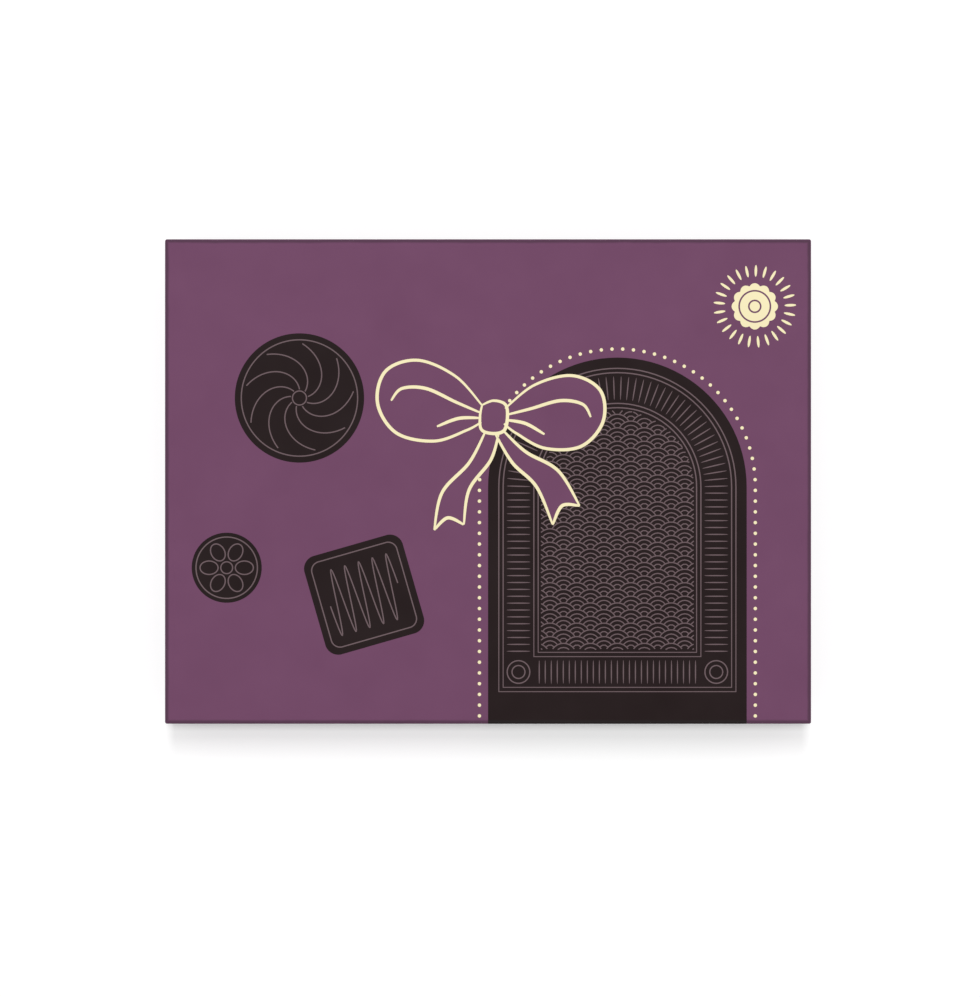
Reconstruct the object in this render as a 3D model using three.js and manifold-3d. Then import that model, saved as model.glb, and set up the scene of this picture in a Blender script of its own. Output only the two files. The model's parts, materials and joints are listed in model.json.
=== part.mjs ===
// Box of chocolates. A lift-off lid covers a shallow base. Both are V-grooved greyboard panels, taped at the
// corners and wrapped in paper. Inside are a vacuum-formed tray, an assortment of moulded pieces in its pockets,
// and a quilted cushion pad on top of them.
// Millimetres, +Z up. The origin is the middle of the underside, and the front is towards -Y.

import * as THREE from "three";
import { mergeVertices } from "three/addons/utils/BufferGeometryUtils.js";
import Module from "manifold-3d";

const wasm = await Module();
wasm.setup();

// Lid and base
const LID_LENGTH = 240; // along X, outside the paper
const LID_WIDTH = 180; // along Y, outside the paper
const LID_DEPTH = 20; // from the lid's rim to its top
const LID_CLEARANCE = 0.6; // between the lid's inside and the base, on each side
const LID_SEAT_GAP = 0.1; // between the base's rim and the lid's liner
const EDGE_RADIUS = 0.6; // of the paper over a folded edge
const CORNER_RADIUS = 0.5; // of the paper round an upright corner
const BOARD = 1.5; // greyboard thickness
const MITRE_GAP = 0.15; // left open in a folded V-groove
const PAPER = 0.3; // wraps, liners and bottom sheet, with their glue
const STAY_TAPE = 0.2; // corner tape, and the glue line beside it
const STAY_LEG = 16; // length of the tape on each wall
const STAY_MARGIN = 0.5; // between the tape's ends and the wrap
const TURN_IN = 14; // paper turned in round a rim
const TURN_UNDER = 15; // paper turned under the base's floor
const LINER_MARGIN = 1; // between a liner and the walls round it
const BOTTOM_SHEET_MARGIN = 2.5; // between the bottom sheet and the base's edge

// Insert tray
const SHEET = 0.45; // formed plastic
const TRAY_CLEARANCE = 0.5; // between the tray and the base's inside
const TRAY_CORNER = 4; // corner radius in plan
const TRAY_DRAFT = 1; // how far the skirt leans in at the top
const LAND_HEIGHT = 10.5; // from the tray's underside to its top
const RIM_LAND = 1.5; // land kept between the pockets' cells and the tray's edge
const POCKET_CLEARANCE = 0.6; // between a piece and its pocket's floor line
const POCKET_FILLET = 1; // between a pocket's floor and its wall
const POCKET_DRAFT = 0.07; // how far a pocket's wall leans out for each millimetre of height
const POCKET_WEB = 2; // least land between two pockets

// Cushion pad
const PAD_THICKNESS = 4;
const PAD_MARGIN = 2.5; // between the pad and the base's inside
const PAD_GAP = 0.3; // above and below the pad
const PAD_SEAM = 1.2; // thickness left where quilting lines cross
const PAD_QUILT = 19; // wanted distance between quilting lines

// Chocolates
const ROUND_DIAMETER = 29; // swirl domes and fluted cups
const SWIRL_HEIGHT = 16.5;
const SWIRL_LOBES = 8;
const SWIRL_GROOVE = 1.3; // depth between two lobes
const SWIRL_TURN = 1.4; // radians from foot to tip
const SQUARE_SIDE = 28;
const SQUARE_CORNER = 4;
const SQUARE_HEIGHT = 14;
const TRUFFLE_DIAMETER = 28.5;
const TRUFFLE_HEIGHT = 17.5;
const HEART_WIDTH = 29.5;
const HEART_LENGTH = 28.5;
const HEART_HEIGHT = 14;
const CUP_HEIGHT = 11.5;
const CUP_FLUTES = 12;
const CUP_GROOVE = 1.1; // depth between two flutes
const CUP_TAPER = 2.2; // how far the foot is drawn in
const OVAL_WIDTH = 24;
const OVAL_LENGTH = 33;
const OVAL_HEIGHT = 15;
const BAR_WIDTH = 24.5;
const BAR_LENGTH = 33;
const BAR_CORNER = 3;
const BAR_HEIGHT = 11.5;
const BAR_EDGE = 2.2; // softened height along the bar's top
const PILLOW_EDGE = 3.6; // softened height along the top of a square or a heart
const GEM_DIAMETER = 29.5;
const GEM_HEIGHT = 15;
const GEM_SIDES = 8;
const HAZELNUT_DIAMETER = 12.5;
const HAZELNUT_HEIGHT = 6.3; // above the cup
const ALMOND_WIDTH = 12.5;
const ALMOND_LENGTH = 22;
const ALMOND_HEIGHT = 4.6; // above the bar

// Facets
const CORNER_STEPS = 4; // on a quarter of a round outline
const DOME_STEPS = 5; // from a dome's foot to its top
const DOME_END = 1.45; // radians up the dome's quarter circle, where a small flat closes it
const BALL_START = -0.8; // radians on the same circle, where a ball is cut flat
const EDGE_STEPS = 3; // round a paper edge
const LOBE_STEPS = 3; // from one groove to the next
const ARM_STEPS = 6; // on each quarter of the heart's outline
const OVERCUT = 1; // how far a cutter stands out of what it cuts

// Plan sizes that follow, from the outside in
const insetBy = (size, each) => ({ x: size.x - 2 * each, y: size.y - 2 * each });
const lidOutside = { x: LID_LENGTH, y: LID_WIDTH };
const lidBoards = insetBy(lidOutside, PAPER + STAY_TAPE);
const lidInside = insetBy(lidBoards, BOARD + PAPER);
const baseOutside = insetBy(lidInside, LID_CLEARANCE);
const baseBoards = insetBy(baseOutside, PAPER + STAY_TAPE);
const baseInside = insetBy(baseBoards, BOARD + PAPER);
const traySize = insetBy(baseInside, TRAY_CLEARANCE);
const padSize = insetBy(baseInside, PAD_MARGIN);

// Heights that follow, from the table up
const tallestPiece = Math.max(
  SWIRL_HEIGHT,
  SQUARE_HEIGHT,
  TRUFFLE_HEIGHT,
  HEART_HEIGHT,
  CUP_HEIGHT + HAZELNUT_HEIGHT,
  OVAL_HEIGHT,
  BAR_HEIGHT + ALMOND_HEIGHT,
  GEM_HEIGHT,
);
const baseUnderside = PAPER; // on the bottom sheet
const floorUnderside = baseUnderside + PAPER; // on the turned-under wrap
const floorTop = floorUnderside + BOARD;
const trayUnderside = floorTop + PAPER;
const pocketFloor = trayUnderside + SHEET;
const landTop = trayUnderside + LAND_HEIGHT;
const padUnderside = pocketFloor + tallestPiece + PAD_GAP;
const baseRim = padUnderside + PAD_THICKNESS + PAD_GAP;
const lidLinerUnderside = baseRim + LID_SEAT_GAP;
const lidBoardTop = lidLinerUnderside + PAPER + BOARD;
const lidTop = lidBoardTop + PAPER;
const lidRim = lidTop - LID_DEPTH;

// Materials
const finish = (color, roughness, metalness = 0) => new THREE.MeshStandardMaterial({ color, roughness, metalness });
const plumPaper = finish(0x734a67, 0.5);
const darkPaper = finish(0x292021, 0.55);
const creamPaper = finish(0xf0e6cf, 0.8);
const greyboard = finish(0x8f8a82, 0.95);
const kraftTape = finish(0xb08a5c, 0.85);
const goldSheet = finish(0xb8914c, 0.35, 0.6);
const glassine = finish(0xefe4c9, 0.45);
const milkChocolate = finish(0x6b3d22, 0.35);
const darkChocolate = finish(0x321a11, 0.3);
const whiteChocolate = finish(0xf0dfb4, 0.4);
const cocoaPowder = finish(0x5a3623, 0.95);
const hazelnutSkin = finish(0x9a6233, 0.6);
const almondFlesh = finish(0xe3c08c, 0.55);

function piece(name, geometry, material) {
  const mesh = new THREE.Mesh(geometry, material);
  mesh.name = name;
  return mesh;
}

function group(name, members) {
  const made = new THREE.Group().add(...members);
  made.name = name;
  return made;
}

// Solids for cutting and joining
function solidOf(geometry) {
  const bare = geometry.clone();
  bare.deleteAttribute("normal");
  bare.deleteAttribute("uv");
  const merged = mergeVertices(bare, 1e-4);
  const vertProperties = merged.attributes.position.array;
  const triVerts = new Uint32Array(merged.index.array);
  return new wasm.Manifold(new wasm.Mesh({ numProp: 3, vertProperties, triVerts }));
}

function geometryOf(solid) {
  const { vertProperties, triVerts } = solid.getMesh();
  const geometry = new THREE.BufferGeometry();
  geometry.setAttribute("position", new THREE.BufferAttribute(vertProperties, 3));
  return geometry.setIndex(new THREE.BufferAttribute(triVerts, 1));
}

function block(size, bottom, top) {
  return new THREE.BoxGeometry(size.x, size.y, top - bottom).translate(0, 0, (bottom + top) / 2);
}

// Rings run counter-clockwise seen from the last one, and each end is closed onto its ring's middle.
function loft(rings) {
  const count = rings[0].length;
  const middle = (ring) => ring.reduce((sum, p) => sum.add(p), new THREE.Vector3()).divideScalar(count);
  const points = [...rings.flat(), middle(rings[0]), middle(rings.at(-1))];
  const foot = points.length - 2;
  const head = points.length - 1;
  const lastRing = (rings.length - 1) * count;
  const faces = [];
  for (let i = 0; i < count; i++) {
    const j = (i + 1) % count;
    faces.push(foot, j, i, head, lastRing + i, lastRing + j);
    for (let k = 0; k < lastRing; k += count) {
      faces.push(k + i, k + j, k + count + j, k + i, k + count + j, k + count + i);
    }
  }
  return new THREE.BufferGeometry().setFromPoints(points).setIndex(faces);
}

// Outlines, counter-clockwise round the origin
function roundedOutline(width, length, radius) {
  const points = [];
  for (let corner = 0; corner < 4; corner++) {
    const centreX = (width / 2 - radius) * (corner % 3 === 0 ? 1 : -1);
    const centreY = (length / 2 - radius) * (corner < 2 ? 1 : -1);
    for (let step = 0; step <= CORNER_STEPS; step++) {
      const angle = ((corner + step / CORNER_STEPS) * Math.PI) / 2;
      points.push(new THREE.Vector2(centreX + radius * Math.cos(angle), centreY + radius * Math.sin(angle)));
    }
  }
  return points.filter((p, i) => p.distanceTo(points.at(i - 1)) > 1e-4);
}

function circle(diameter) {
  return roundedOutline(diameter, diameter, diameter / 2);
}

function lobedOutline(diameter, lobes, groove) {
  const count = lobes * LOBE_STEPS;
  const points = [];
  for (let i = 0; i < count; i++) {
    const angle = (i / count) * 2 * Math.PI;
    const radius = diameter / 2 - (groove * (1 - Math.cos(lobes * angle))) / 2;
    points.push(new THREE.Vector2(radius * Math.cos(angle), radius * Math.sin(angle)));
  }
  return points;
}

function heartOutline(width, length) {
  const shape = new THREE.Shape().moveTo(0, -1);
  shape.bezierCurveTo(0.45, -0.72, 1, -0.3, 1, 0.28);
  shape.bezierCurveTo(1, 0.8, 0.3, 1, 0, 0.62);
  shape.bezierCurveTo(-0.3, 1, -1, 0.8, -1, 0.28);
  shape.bezierCurveTo(-1, -0.3, -0.45, -0.72, 0, -1);
  const points = shape.getPoints(ARM_STEPS).slice(1);
  const box = new THREE.Box2().setFromPoints(points);
  const centre = box.getCenter(new THREE.Vector2());
  const scale = new THREE.Vector2(width, length).divide(box.getSize(new THREE.Vector2()));
  return points.map((p) => p.sub(centre).multiply(scale));
}

function almondOutline(width, length) {
  const narrowing = 0.25; // towards the tip
  return circle(1).map((p) => new THREE.Vector2(p.x * width * (1 - narrowing * 2 * p.y), p.y * length));
}

// An outline at a height, drawn in by a distance where it is widest, and turned
function ringAt(outline, height, drawnIn = 0, turn = 0) {
  const reach = new THREE.Box2().setFromPoints(outline).max;
  const axis = new THREE.Vector2();
  return outline.map((p) => {
    const drawn = new THREE.Vector2(p.x * (1 - drawnIn / reach.x), p.y * (1 - drawnIn / reach.y));
    const { x, y } = drawn.rotateAround(axis, turn);
    return new THREE.Vector3(x, y, height);
  });
}

// Greyboard: five panels of one blank, with every folded edge cut at 45 degrees by the V-groove. The walls fold from
// the middle panel's outer face towards the rim, up on the base and down on the lid.
function boardPanels(prefix, middleName, size, outerZ, rimZ) {
  const foldsUp = rimZ > outerZ;
  const innerZ = foldsUp ? outerZ + BOARD : outerZ - BOARD;
  const panel = (rings) => loft(foldsUp ? rings : rings.map((ring) => ring.reverse()));
  const corners = (list) => list.map((p) => new THREE.Vector3(...p));
  const middleFace = (inset, z) => {
    const x = size.x / 2 - MITRE_GAP - inset;
    const y = size.y / 2 - MITRE_GAP - inset;
    return corners([[x, -y, z], [x, y, z], [-x, y, z], [-x, -y, z]]);
  };
  const wallFace = (half, distance, inset, z) => {
    const x = half - MITRE_GAP - inset;
    const y = distance - inset;
    return corners([[-x, y, z], [-x, y, rimZ], [x, y, rimZ], [x, y, z]]);
  };
  const middle = panel([middleFace(0, outerZ), middleFace(BOARD, innerZ)]);
  const walls = ["back", "left", "front", "right"].map((side, quarter) => {
    const [half, distance] = quarter % 2 ? [size.y / 2, size.x / 2] : [size.x / 2, size.y / 2];
    const wall = panel([wallFace(half, distance, BOARD, innerZ), wallFace(half, distance, 0, outerZ)]);
    return piece(`${prefix}_${side}_board`, wall.rotateZ((quarter * Math.PI) / 2), greyboard);
  });
  return [piece(`${prefix}_${middleName}_board`, middle, greyboard), ...walls];
}

// Paper tape folded round each corner of the boards
function cornerStays(prefix, size, bottom, top) {
  const x = size.x / 2;
  const y = size.y / 2;
  const [farX, farY] = [x + STAY_TAPE, y + STAY_TAPE];
  const [nearX, nearY] = [x - STAY_LEG, y - STAY_LEG];
  const angle = [[x, y], [nearX, y], [nearX, farY], [farX, farY], [farX, nearY], [x, nearY]];
  const stays = [];
  for (const [end, signY] of [["front", -1], ["back", 1]]) {
    for (const [side, signX] of [["left", -1], ["right", 1]]) {
      const shape = new THREE.Shape(angle.map(([u, v]) => new THREE.Vector2(u * signX, v * signY)));
      const depth = top - bottom - 2 * STAY_MARGIN;
      const tape = new THREE.ExtrudeGeometry(shape, { depth, bevelEnabled: false });
      stays.push(piece(`${prefix}_stay_${end}_${side}`, tape.translate(0, 0, bottom + STAY_MARGIN), kraftTape));
    }
  }
  return stays;
}

// A block with the soft edges of paper folded over board
function roundedBlock(size, bottom, top) {
  const outline = roundedOutline(size.x, size.y, CORNER_RADIUS);
  const low = [];
  const high = [];
  for (let step = 0; step <= EDGE_STEPS; step++) {
    const angle = ((step / EDGE_STEPS) * Math.PI) / 2;
    const drawnIn = EDGE_RADIUS * (1 - Math.sin(angle));
    const rise = EDGE_RADIUS * (1 - Math.cos(angle));
    low.push(ringAt(outline, bottom + rise, drawnIn));
    high.unshift(ringAt(outline, top - rise, drawnIn));
  }
  return solidOf(loft([...low, ...high]));
}

// Paper on the inner faces of the walls
function turnedIn(inside, bottom, top) {
  const sleeve = solidOf(block(insetBy(inside, -PAPER), bottom, top));
  return sleeve.subtract(solidOf(block(inside, bottom - OVERCUT, top + OVERCUT)));
}

function lidWrap() {
  const cavity = solidOf(block(insetBy(lidOutside, PAPER), lidRim + PAPER, lidBoardTop));
  const mouth = solidOf(block(lidInside, lidRim - OVERCUT, lidRim + PAPER + OVERCUT));
  const shell = roundedBlock(lidOutside, lidRim, lidTop).subtract(cavity).subtract(mouth);
  return geometryOf(shell.add(turnedIn(lidInside, lidRim, lidRim + TURN_IN)));
}

function baseWrap() {
  const cavity = solidOf(block(insetBy(baseOutside, PAPER), floorUnderside, baseRim - PAPER));
  const mouth = solidOf(block(baseInside, baseRim - PAPER - OVERCUT, baseRim + OVERCUT));
  const window = solidOf(block(insetBy(baseOutside, TURN_UNDER), baseUnderside - OVERCUT, floorUnderside + OVERCUT));
  const shell = roundedBlock(baseOutside, baseUnderside, baseRim).subtract(cavity).subtract(mouth).subtract(window);
  return geometryOf(shell.add(turnedIn(baseInside, baseRim - TURN_IN, baseRim)));
}

// Chocolates, each standing on z = 0 over its own middle
function domed(outline, height, start = 0, turn = 0) {
  const widest = new THREE.Box2().setFromPoints(outline).max;
  const reach = Math.min(widest.x, widest.y);
  const climb = (angle) => (Math.sin(angle) - Math.sin(start)) / (Math.sin(DOME_END) - Math.sin(start));
  const rings = [];
  for (let step = 0; step <= DOME_STEPS; step++) {
    const along = step / DOME_STEPS;
    const angle = start + along * (DOME_END - start);
    rings.push(ringAt(outline, height * climb(angle), reach * (1 - Math.cos(angle)), turn * along));
  }
  return loft(rings);
}

function pillowed(outline, height, edge) {
  return loft([
    ringAt(outline, 0),
    ringAt(outline, height - edge, 0.3 * edge),
    ringAt(outline, height - 0.3 * edge, 0.8 * edge),
    ringAt(outline, height, 1.7 * edge),
  ]);
}

function flutedCup() {
  const outline = lobedOutline(ROUND_DIAMETER, CUP_FLUTES, CUP_GROOVE);
  return loft([
    ringAt(outline, 0, CUP_TAPER),
    ringAt(outline, CUP_HEIGHT - CUP_GROOVE),
    ringAt(outline, CUP_HEIGHT, CUP_GROOVE),
  ]);
}

function cutGem() {
  const side = (2 * Math.PI) / GEM_SIDES;
  const axis = new THREE.Vector2();
  const outline = [];
  for (let i = 0; i < GEM_SIDES; i++) {
    outline.push(new THREE.Vector2(GEM_DIAMETER / 2, 0).rotateAround(axis, (i + 0.5) * side));
  }
  return loft([
    ringAt(outline, 0, 0.06 * GEM_DIAMETER),
    ringAt(outline, 0.4 * GEM_HEIGHT),
    ringAt(outline, 0.75 * GEM_HEIGHT, 0.13 * GEM_DIAMETER, -side / 2),
    ringAt(outline, GEM_HEIGHT, 0.25 * GEM_DIAMETER, -side),
  ]);
}

const square = roundedOutline(SQUARE_SIDE, SQUARE_SIDE, SQUARE_CORNER);
const heart = heartOutline(HEART_WIDTH, HEART_LENGTH);
const swirl = lobedOutline(ROUND_DIAMETER, SWIRL_LOBES, SWIRL_GROOVE);
const oval = roundedOutline(OVAL_WIDTH, OVAL_LENGTH, OVAL_WIDTH / 2);
const bar = roundedOutline(BAR_WIDTH, BAR_LENGTH, BAR_CORNER);

// The pocket outline is the plan that a kind needs, before clearance and draft.
const kinds = [
  {
    name: "swirl_dome",
    pocket: circle(ROUND_DIAMETER),
    geometry: domed(swirl, SWIRL_HEIGHT, 0, SWIRL_TURN),
    material: milkChocolate,
  },
  {
    name: "drizzle_square",
    pocket: square,
    geometry: pillowed(square, SQUARE_HEIGHT, PILLOW_EDGE),
    material: darkChocolate,
  },
  {
    name: "cocoa_truffle",
    pocket: circle(TRUFFLE_DIAMETER),
    geometry: domed(circle(TRUFFLE_DIAMETER), TRUFFLE_HEIGHT, BALL_START),
    material: cocoaPowder,
  },
  {
    name: "heart",
    pocket: roundedOutline(HEART_WIDTH, HEART_LENGTH, HEART_LENGTH / 3),
    geometry: pillowed(heart, HEART_HEIGHT, PILLOW_EDGE),
    material: whiteChocolate,
  },
  {
    name: "fluted_cup",
    pocket: circle(ROUND_DIAMETER),
    geometry: flutedCup(),
    material: milkChocolate,
    topping: {
      name: "hazelnut",
      height: CUP_HEIGHT,
      geometry: domed(circle(HAZELNUT_DIAMETER), HAZELNUT_HEIGHT),
      material: hazelnutSkin,
    },
  },
  {
    name: "striped_oval",
    pocket: oval,
    geometry: domed(oval, OVAL_HEIGHT),
    material: darkChocolate,
  },
  {
    name: "almond_bar",
    pocket: bar,
    geometry: pillowed(bar, BAR_HEIGHT, BAR_EDGE),
    material: milkChocolate,
    topping: {
      name: "almond",
      height: BAR_HEIGHT,
      geometry: domed(almondOutline(ALMOND_WIDTH, ALMOND_LENGTH), ALMOND_HEIGHT),
      material: almondFlesh,
    },
  },
  {
    name: "cut_gem",
    pocket: circle(GEM_DIAMETER),
    geometry: cutGem(),
    material: darkChocolate,
  },
];

// Pockets: a floor, a fillet, and a wall that leans out up to the land
function pocketSpread(z) {
  return POCKET_CLEARANCE + POCKET_FILLET + POCKET_DRAFT * (z - pocketFloor - POCKET_FILLET);
}

function pocketHollow(outline) {
  const top = landTop + OVERCUT;
  return loft([
    ringAt(outline, pocketFloor, -POCKET_CLEARANCE),
    ringAt(outline, pocketFloor + POCKET_FILLET, -pocketSpread(pocketFloor + POCKET_FILLET)),
    ringAt(outline, top, -pocketSpread(top)),
  ]);
}

function pocketBody(outline) {
  const corner = SHEET * (Math.SQRT2 - 1); // keeps the sheet's thickness round the fillet
  const bend = pocketFloor + POCKET_FILLET - corner;
  const top = landTop - SHEET / 2;
  return loft([
    ringAt(outline, trayUnderside, -POCKET_CLEARANCE - corner),
    ringAt(outline, bend, -pocketSpread(bend) - SHEET),
    ringAt(outline, top, -pocketSpread(top) - SHEET),
  ]);
}

// Cells: as many columns and rows as the land takes, with the kinds dealt out in turn
const widestMouth = { x: 0, y: 0 };
for (const { pocket } of kinds) {
  const reach = new THREE.Box2().setFromPoints(pocket).max;
  widestMouth.x = Math.max(widestMouth.x, 2 * (reach.x + pocketSpread(landTop)));
  widestMouth.y = Math.max(widestMouth.y, 2 * (reach.y + pocketSpread(landTop)));
}
const land = insetBy(traySize, TRAY_DRAFT + RIM_LAND);
const columns = Math.floor(land.x / (widestMouth.x + POCKET_WEB));
const rows = Math.floor(land.y / (widestMouth.y + POCKET_WEB));
const cells = [];
for (let row = 0; row < rows; row++) {
  for (let column = 0; column < columns; column++) {
    const index = row * columns + column;
    cells.push({
      kind: kinds[index % kinds.length],
      number: Math.floor(index / kinds.length) + 1,
      x: ((column + 0.5) / columns - 0.5) * land.x,
      y: (0.5 - (row + 0.5) / rows) * land.y,
    });
  }
}

function insertTray() {
  const plan = roundedOutline(traySize.x, traySize.y, TRAY_CORNER);
  const skirt = (inset, bottom, top) => {
    const lean = (z) => (TRAY_DRAFT * (z - trayUnderside)) / LAND_HEIGHT;
    return solidOf(loft([ringAt(plan, bottom, inset + lean(bottom)), ringAt(plan, top, inset + lean(top))]));
  };
  let tray = skirt(0, trayUnderside, landTop).subtract(skirt(SHEET, trayUnderside - OVERCUT, landTop - SHEET));
  for (const { kind, x, y } of cells) {
    tray = tray.add(solidOf(pocketBody(kind.pocket).translate(x, y, 0)));
  }
  for (const { kind, x, y } of cells) {
    tray = tray.subtract(solidOf(pocketHollow(kind.pocket).translate(x, y, 0)));
  }
  return geometryOf(tray);
}

function chocolates() {
  return cells.map(({ kind, number, x, y }) => {
    const members = [piece(`${kind.name}_${number}`, kind.geometry, kind.material)];
    if (kind.topping) {
      const { name, geometry, material, height } = kind.topping;
      const topping = piece(`${name}_${number}`, geometry, material);
      topping.position.z = height;
      members.push(topping);
    }
    const placed = group(`${kind.name}_${number}_cell`, members);
    placed.position.set(x, y, pocketFloor);
    return placed;
  });
}

// Cushion pad: each quilted cell swells from its corners to its middle, above and below
function cushionPad() {
  const across = Math.max(1, Math.round(padSize.x / PAD_QUILT));
  const along = Math.max(1, Math.round(padSize.y / PAD_QUILT));
  const centreZ = padUnderside + PAD_THICKNESS / 2;
  const points = [];
  const faces = [];
  const place = (u, v, z) => {
    points.push(new THREE.Vector3((u / across - 0.5) * padSize.x, (v / along - 0.5) * padSize.y, z));
    return points.length - 1;
  };
  const face = (above, ...corners) => faces.push(...(above ? corners : corners.reverse()));
  const grids = [true, false].map((above) => {
    const side = above ? 1 : -1;
    const corners = [];
    for (let u = 0; u <= across; u++) {
      corners.push([]);
      for (let v = 0; v <= along; v++) {
        corners[u].push(place(u, v, centreZ + (side * PAD_SEAM) / 2));
      }
    }
    for (let u = 0; u < across; u++) {
      for (let v = 0; v < along; v++) {
        const crown = place(u + 0.5, v + 0.5, centreZ + (side * PAD_THICKNESS) / 2);
        const ring = [corners[u][v], corners[u + 1][v], corners[u + 1][v + 1], corners[u][v + 1]];
        ring.forEach((corner, i) => face(above, corner, ring[(i + 1) % 4], crown));
      }
    }
    return corners;
  });
  const rim = (grid) => [
    ...grid.slice(0, across).map((column) => column[0]),
    ...grid[across].slice(0, along),
    ...grid.slice(1).map((column) => column[along]).reverse(),
    ...grid[0].slice(1).reverse(),
  ];
  const [upper, lower] = grids.map(rim);
  upper.forEach((corner, i) => {
    const next = (i + 1) % upper.length;
    faces.push(corner, lower[i], upper[next], upper[next], lower[i], lower[next]);
  });
  return new THREE.BufferGeometry().setFromPoints(points).setIndex(faces);
}

const base = group("base", [
  piece("bottom_sheet", block(insetBy(baseOutside, BOTTOM_SHEET_MARGIN), 0, PAPER), darkPaper),
  piece("base_wrap", baseWrap(), darkPaper),
  ...boardPanels("base", "floor", baseBoards, floorUnderside, baseRim - PAPER),
  ...cornerStays("base", baseBoards, floorUnderside, baseRim - PAPER),
  piece("base_liner", block(insetBy(baseBoards, BOARD + LINER_MARGIN), floorTop, trayUnderside), creamPaper),
]);

const filling = group("filling", [piece("insert_tray", insertTray(), goldSheet), ...chocolates()]);

const pad = group("pad", [piece("cushion_pad", cushionPad(), glassine)]);

const lid = group("lid", [
  piece("lid_wrap", lidWrap(), plumPaper),
  ...boardPanels("lid", "top", lidBoards, lidBoardTop, lidRim + PAPER),
  ...cornerStays("lid", lidBoards, lidRim + PAPER, lidBoardTop),
  piece(
    "lid_liner",
    block(insetBy(lidBoards, BOARD + LINER_MARGIN), lidLinerUnderside, lidLinerUnderside + PAPER),
    creamPaper,
  ),
]);

export default group("box_of_chocolates", [base, filling, pad, lid]);
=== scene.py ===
# %% [markdown]
# # A box of chocolates
# This is a flat gift box. A plum paper lid with a dark and cream print fits over a dark base. Inside, a
# formed tray holds moulded chocolates under a quilted pad. The construction comes as a frame that is
# already measured and jointed, so the lesson only gives each piece its true surface, and every piece
# stays where the frame has it.

# %% The frame
import json
import math
import bmesh
import bpy
import numpy as np
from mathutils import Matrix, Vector, noise
from mathutils.bvhtree import BVHTree
from mathutils.geometry import tessellate_polygon

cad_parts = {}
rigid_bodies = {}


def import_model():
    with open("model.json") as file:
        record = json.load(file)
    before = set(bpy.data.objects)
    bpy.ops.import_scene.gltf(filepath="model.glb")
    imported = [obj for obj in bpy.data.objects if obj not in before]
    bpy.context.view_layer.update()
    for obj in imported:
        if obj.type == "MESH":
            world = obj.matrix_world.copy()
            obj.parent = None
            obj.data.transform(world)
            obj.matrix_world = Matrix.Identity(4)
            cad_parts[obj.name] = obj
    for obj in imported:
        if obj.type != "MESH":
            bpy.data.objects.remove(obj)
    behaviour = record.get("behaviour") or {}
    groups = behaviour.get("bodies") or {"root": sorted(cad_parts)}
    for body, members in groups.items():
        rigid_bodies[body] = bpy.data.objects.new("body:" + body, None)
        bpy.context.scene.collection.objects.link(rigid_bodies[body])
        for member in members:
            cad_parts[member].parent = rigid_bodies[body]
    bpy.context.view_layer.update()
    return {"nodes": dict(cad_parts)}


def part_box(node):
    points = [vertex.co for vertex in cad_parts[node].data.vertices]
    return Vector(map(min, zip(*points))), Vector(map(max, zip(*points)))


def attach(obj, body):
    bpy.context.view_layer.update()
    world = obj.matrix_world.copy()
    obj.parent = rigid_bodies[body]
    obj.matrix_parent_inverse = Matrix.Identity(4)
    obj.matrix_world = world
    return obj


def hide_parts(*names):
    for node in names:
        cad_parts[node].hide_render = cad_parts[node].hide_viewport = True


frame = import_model()
nodes = frame["nodes"]
scene = bpy.context.scene
MM = 0.001

# %% [markdown]
# ## Outlines in a stack
# Paper turned round an edge, a pocket in the tray and a moulded dome have one thing in common: each is a
# stack of outlines. They could be modelled by hand with loop cuts and bevels, but a rule gives exact
# sizes and even faces. One helper draws an outline, and one joins a stack of outlines with faces. Both
# count in millimetres, as a drawing does.


# %% Outlines and stacks
def once_round(count):
    """Even angles once round, from half a step on."""
    return (np.arange(count) + 0.5) / count * 2 * np.pi


def from_centre(angles, reach):
    return np.column_stack((reach * np.cos(angles), reach * np.sin(angles)))


def rounded(half_x, half_y, radius, steps=10):
    """A rounded rectangle, counter-clockwise. A radius equal to both halves gives a circle."""
    corners = []
    for quarter, (side_x, side_y) in enumerate(((1, 1), (-1, 1), (-1, -1), (1, -1))):
        angles = once_round(4 * steps)[quarter * steps:(quarter + 1) * steps]
        corners.append(from_centre(angles, radius) + (side_x * (half_x - radius), side_y * (half_y - radius)))
    return np.vstack(corners)


def at_height(outline, z):
    return np.column_stack((outline, np.full(len(outline), z)))


def stack(rings, endless=False):
    """Points and faces from ring to ring, with a face on both ends unless the last ring meets the first."""
    rings = np.array(rings)
    layers, count = rings.shape[:2]
    i = np.arange(count)
    j = np.roll(i, -1)
    faces = []
    for k in range(layers if endless else layers - 1):
        low, high = k * count, (k + 1) % layers * count
        faces += np.column_stack((low + i, low + j, high + j, high + i)).tolist()
    if not endless:
        faces += [i[::-1].tolist(), (i + (layers - 1) * count).tolist()]
    return rings.reshape(-1, 3), faces


print("a rounded square has", len(rounded(5, 5, 1)), "points")

# %% [markdown]
# ## From points to a piece
# Blender counts in metres, so the last step turns millimetres into metres and makes an object. Its faces
# are turned outwards, and its shading is smooth except over real edges. Then the frame is told which body
# the piece rides on and which solids it stands for. Doing all of that in one place means that nothing is
# forgotten.


# %% Finished pieces
def mesh_of(name, points, faces):
    """A mesh from millimetres. Its faces look outwards, or upwards if it is an open sheet."""
    mesh = bpy.data.meshes.new(name)
    mesh.from_pydata((np.asarray(points) * MM).tolist(), [], faces)
    work = bmesh.new()
    work.from_mesh(mesh)
    bmesh.ops.recalc_face_normals(work, faces=work.faces)
    highest = max(work.faces, key=lambda f: (round(f.calc_center_median().z, 6), f.calc_area()))
    if highest.normal.z < 0:
        bmesh.ops.reverse_faces(work, faces=work.faces)
    work.to_mesh(mesh)
    work.free()
    return mesh


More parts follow.
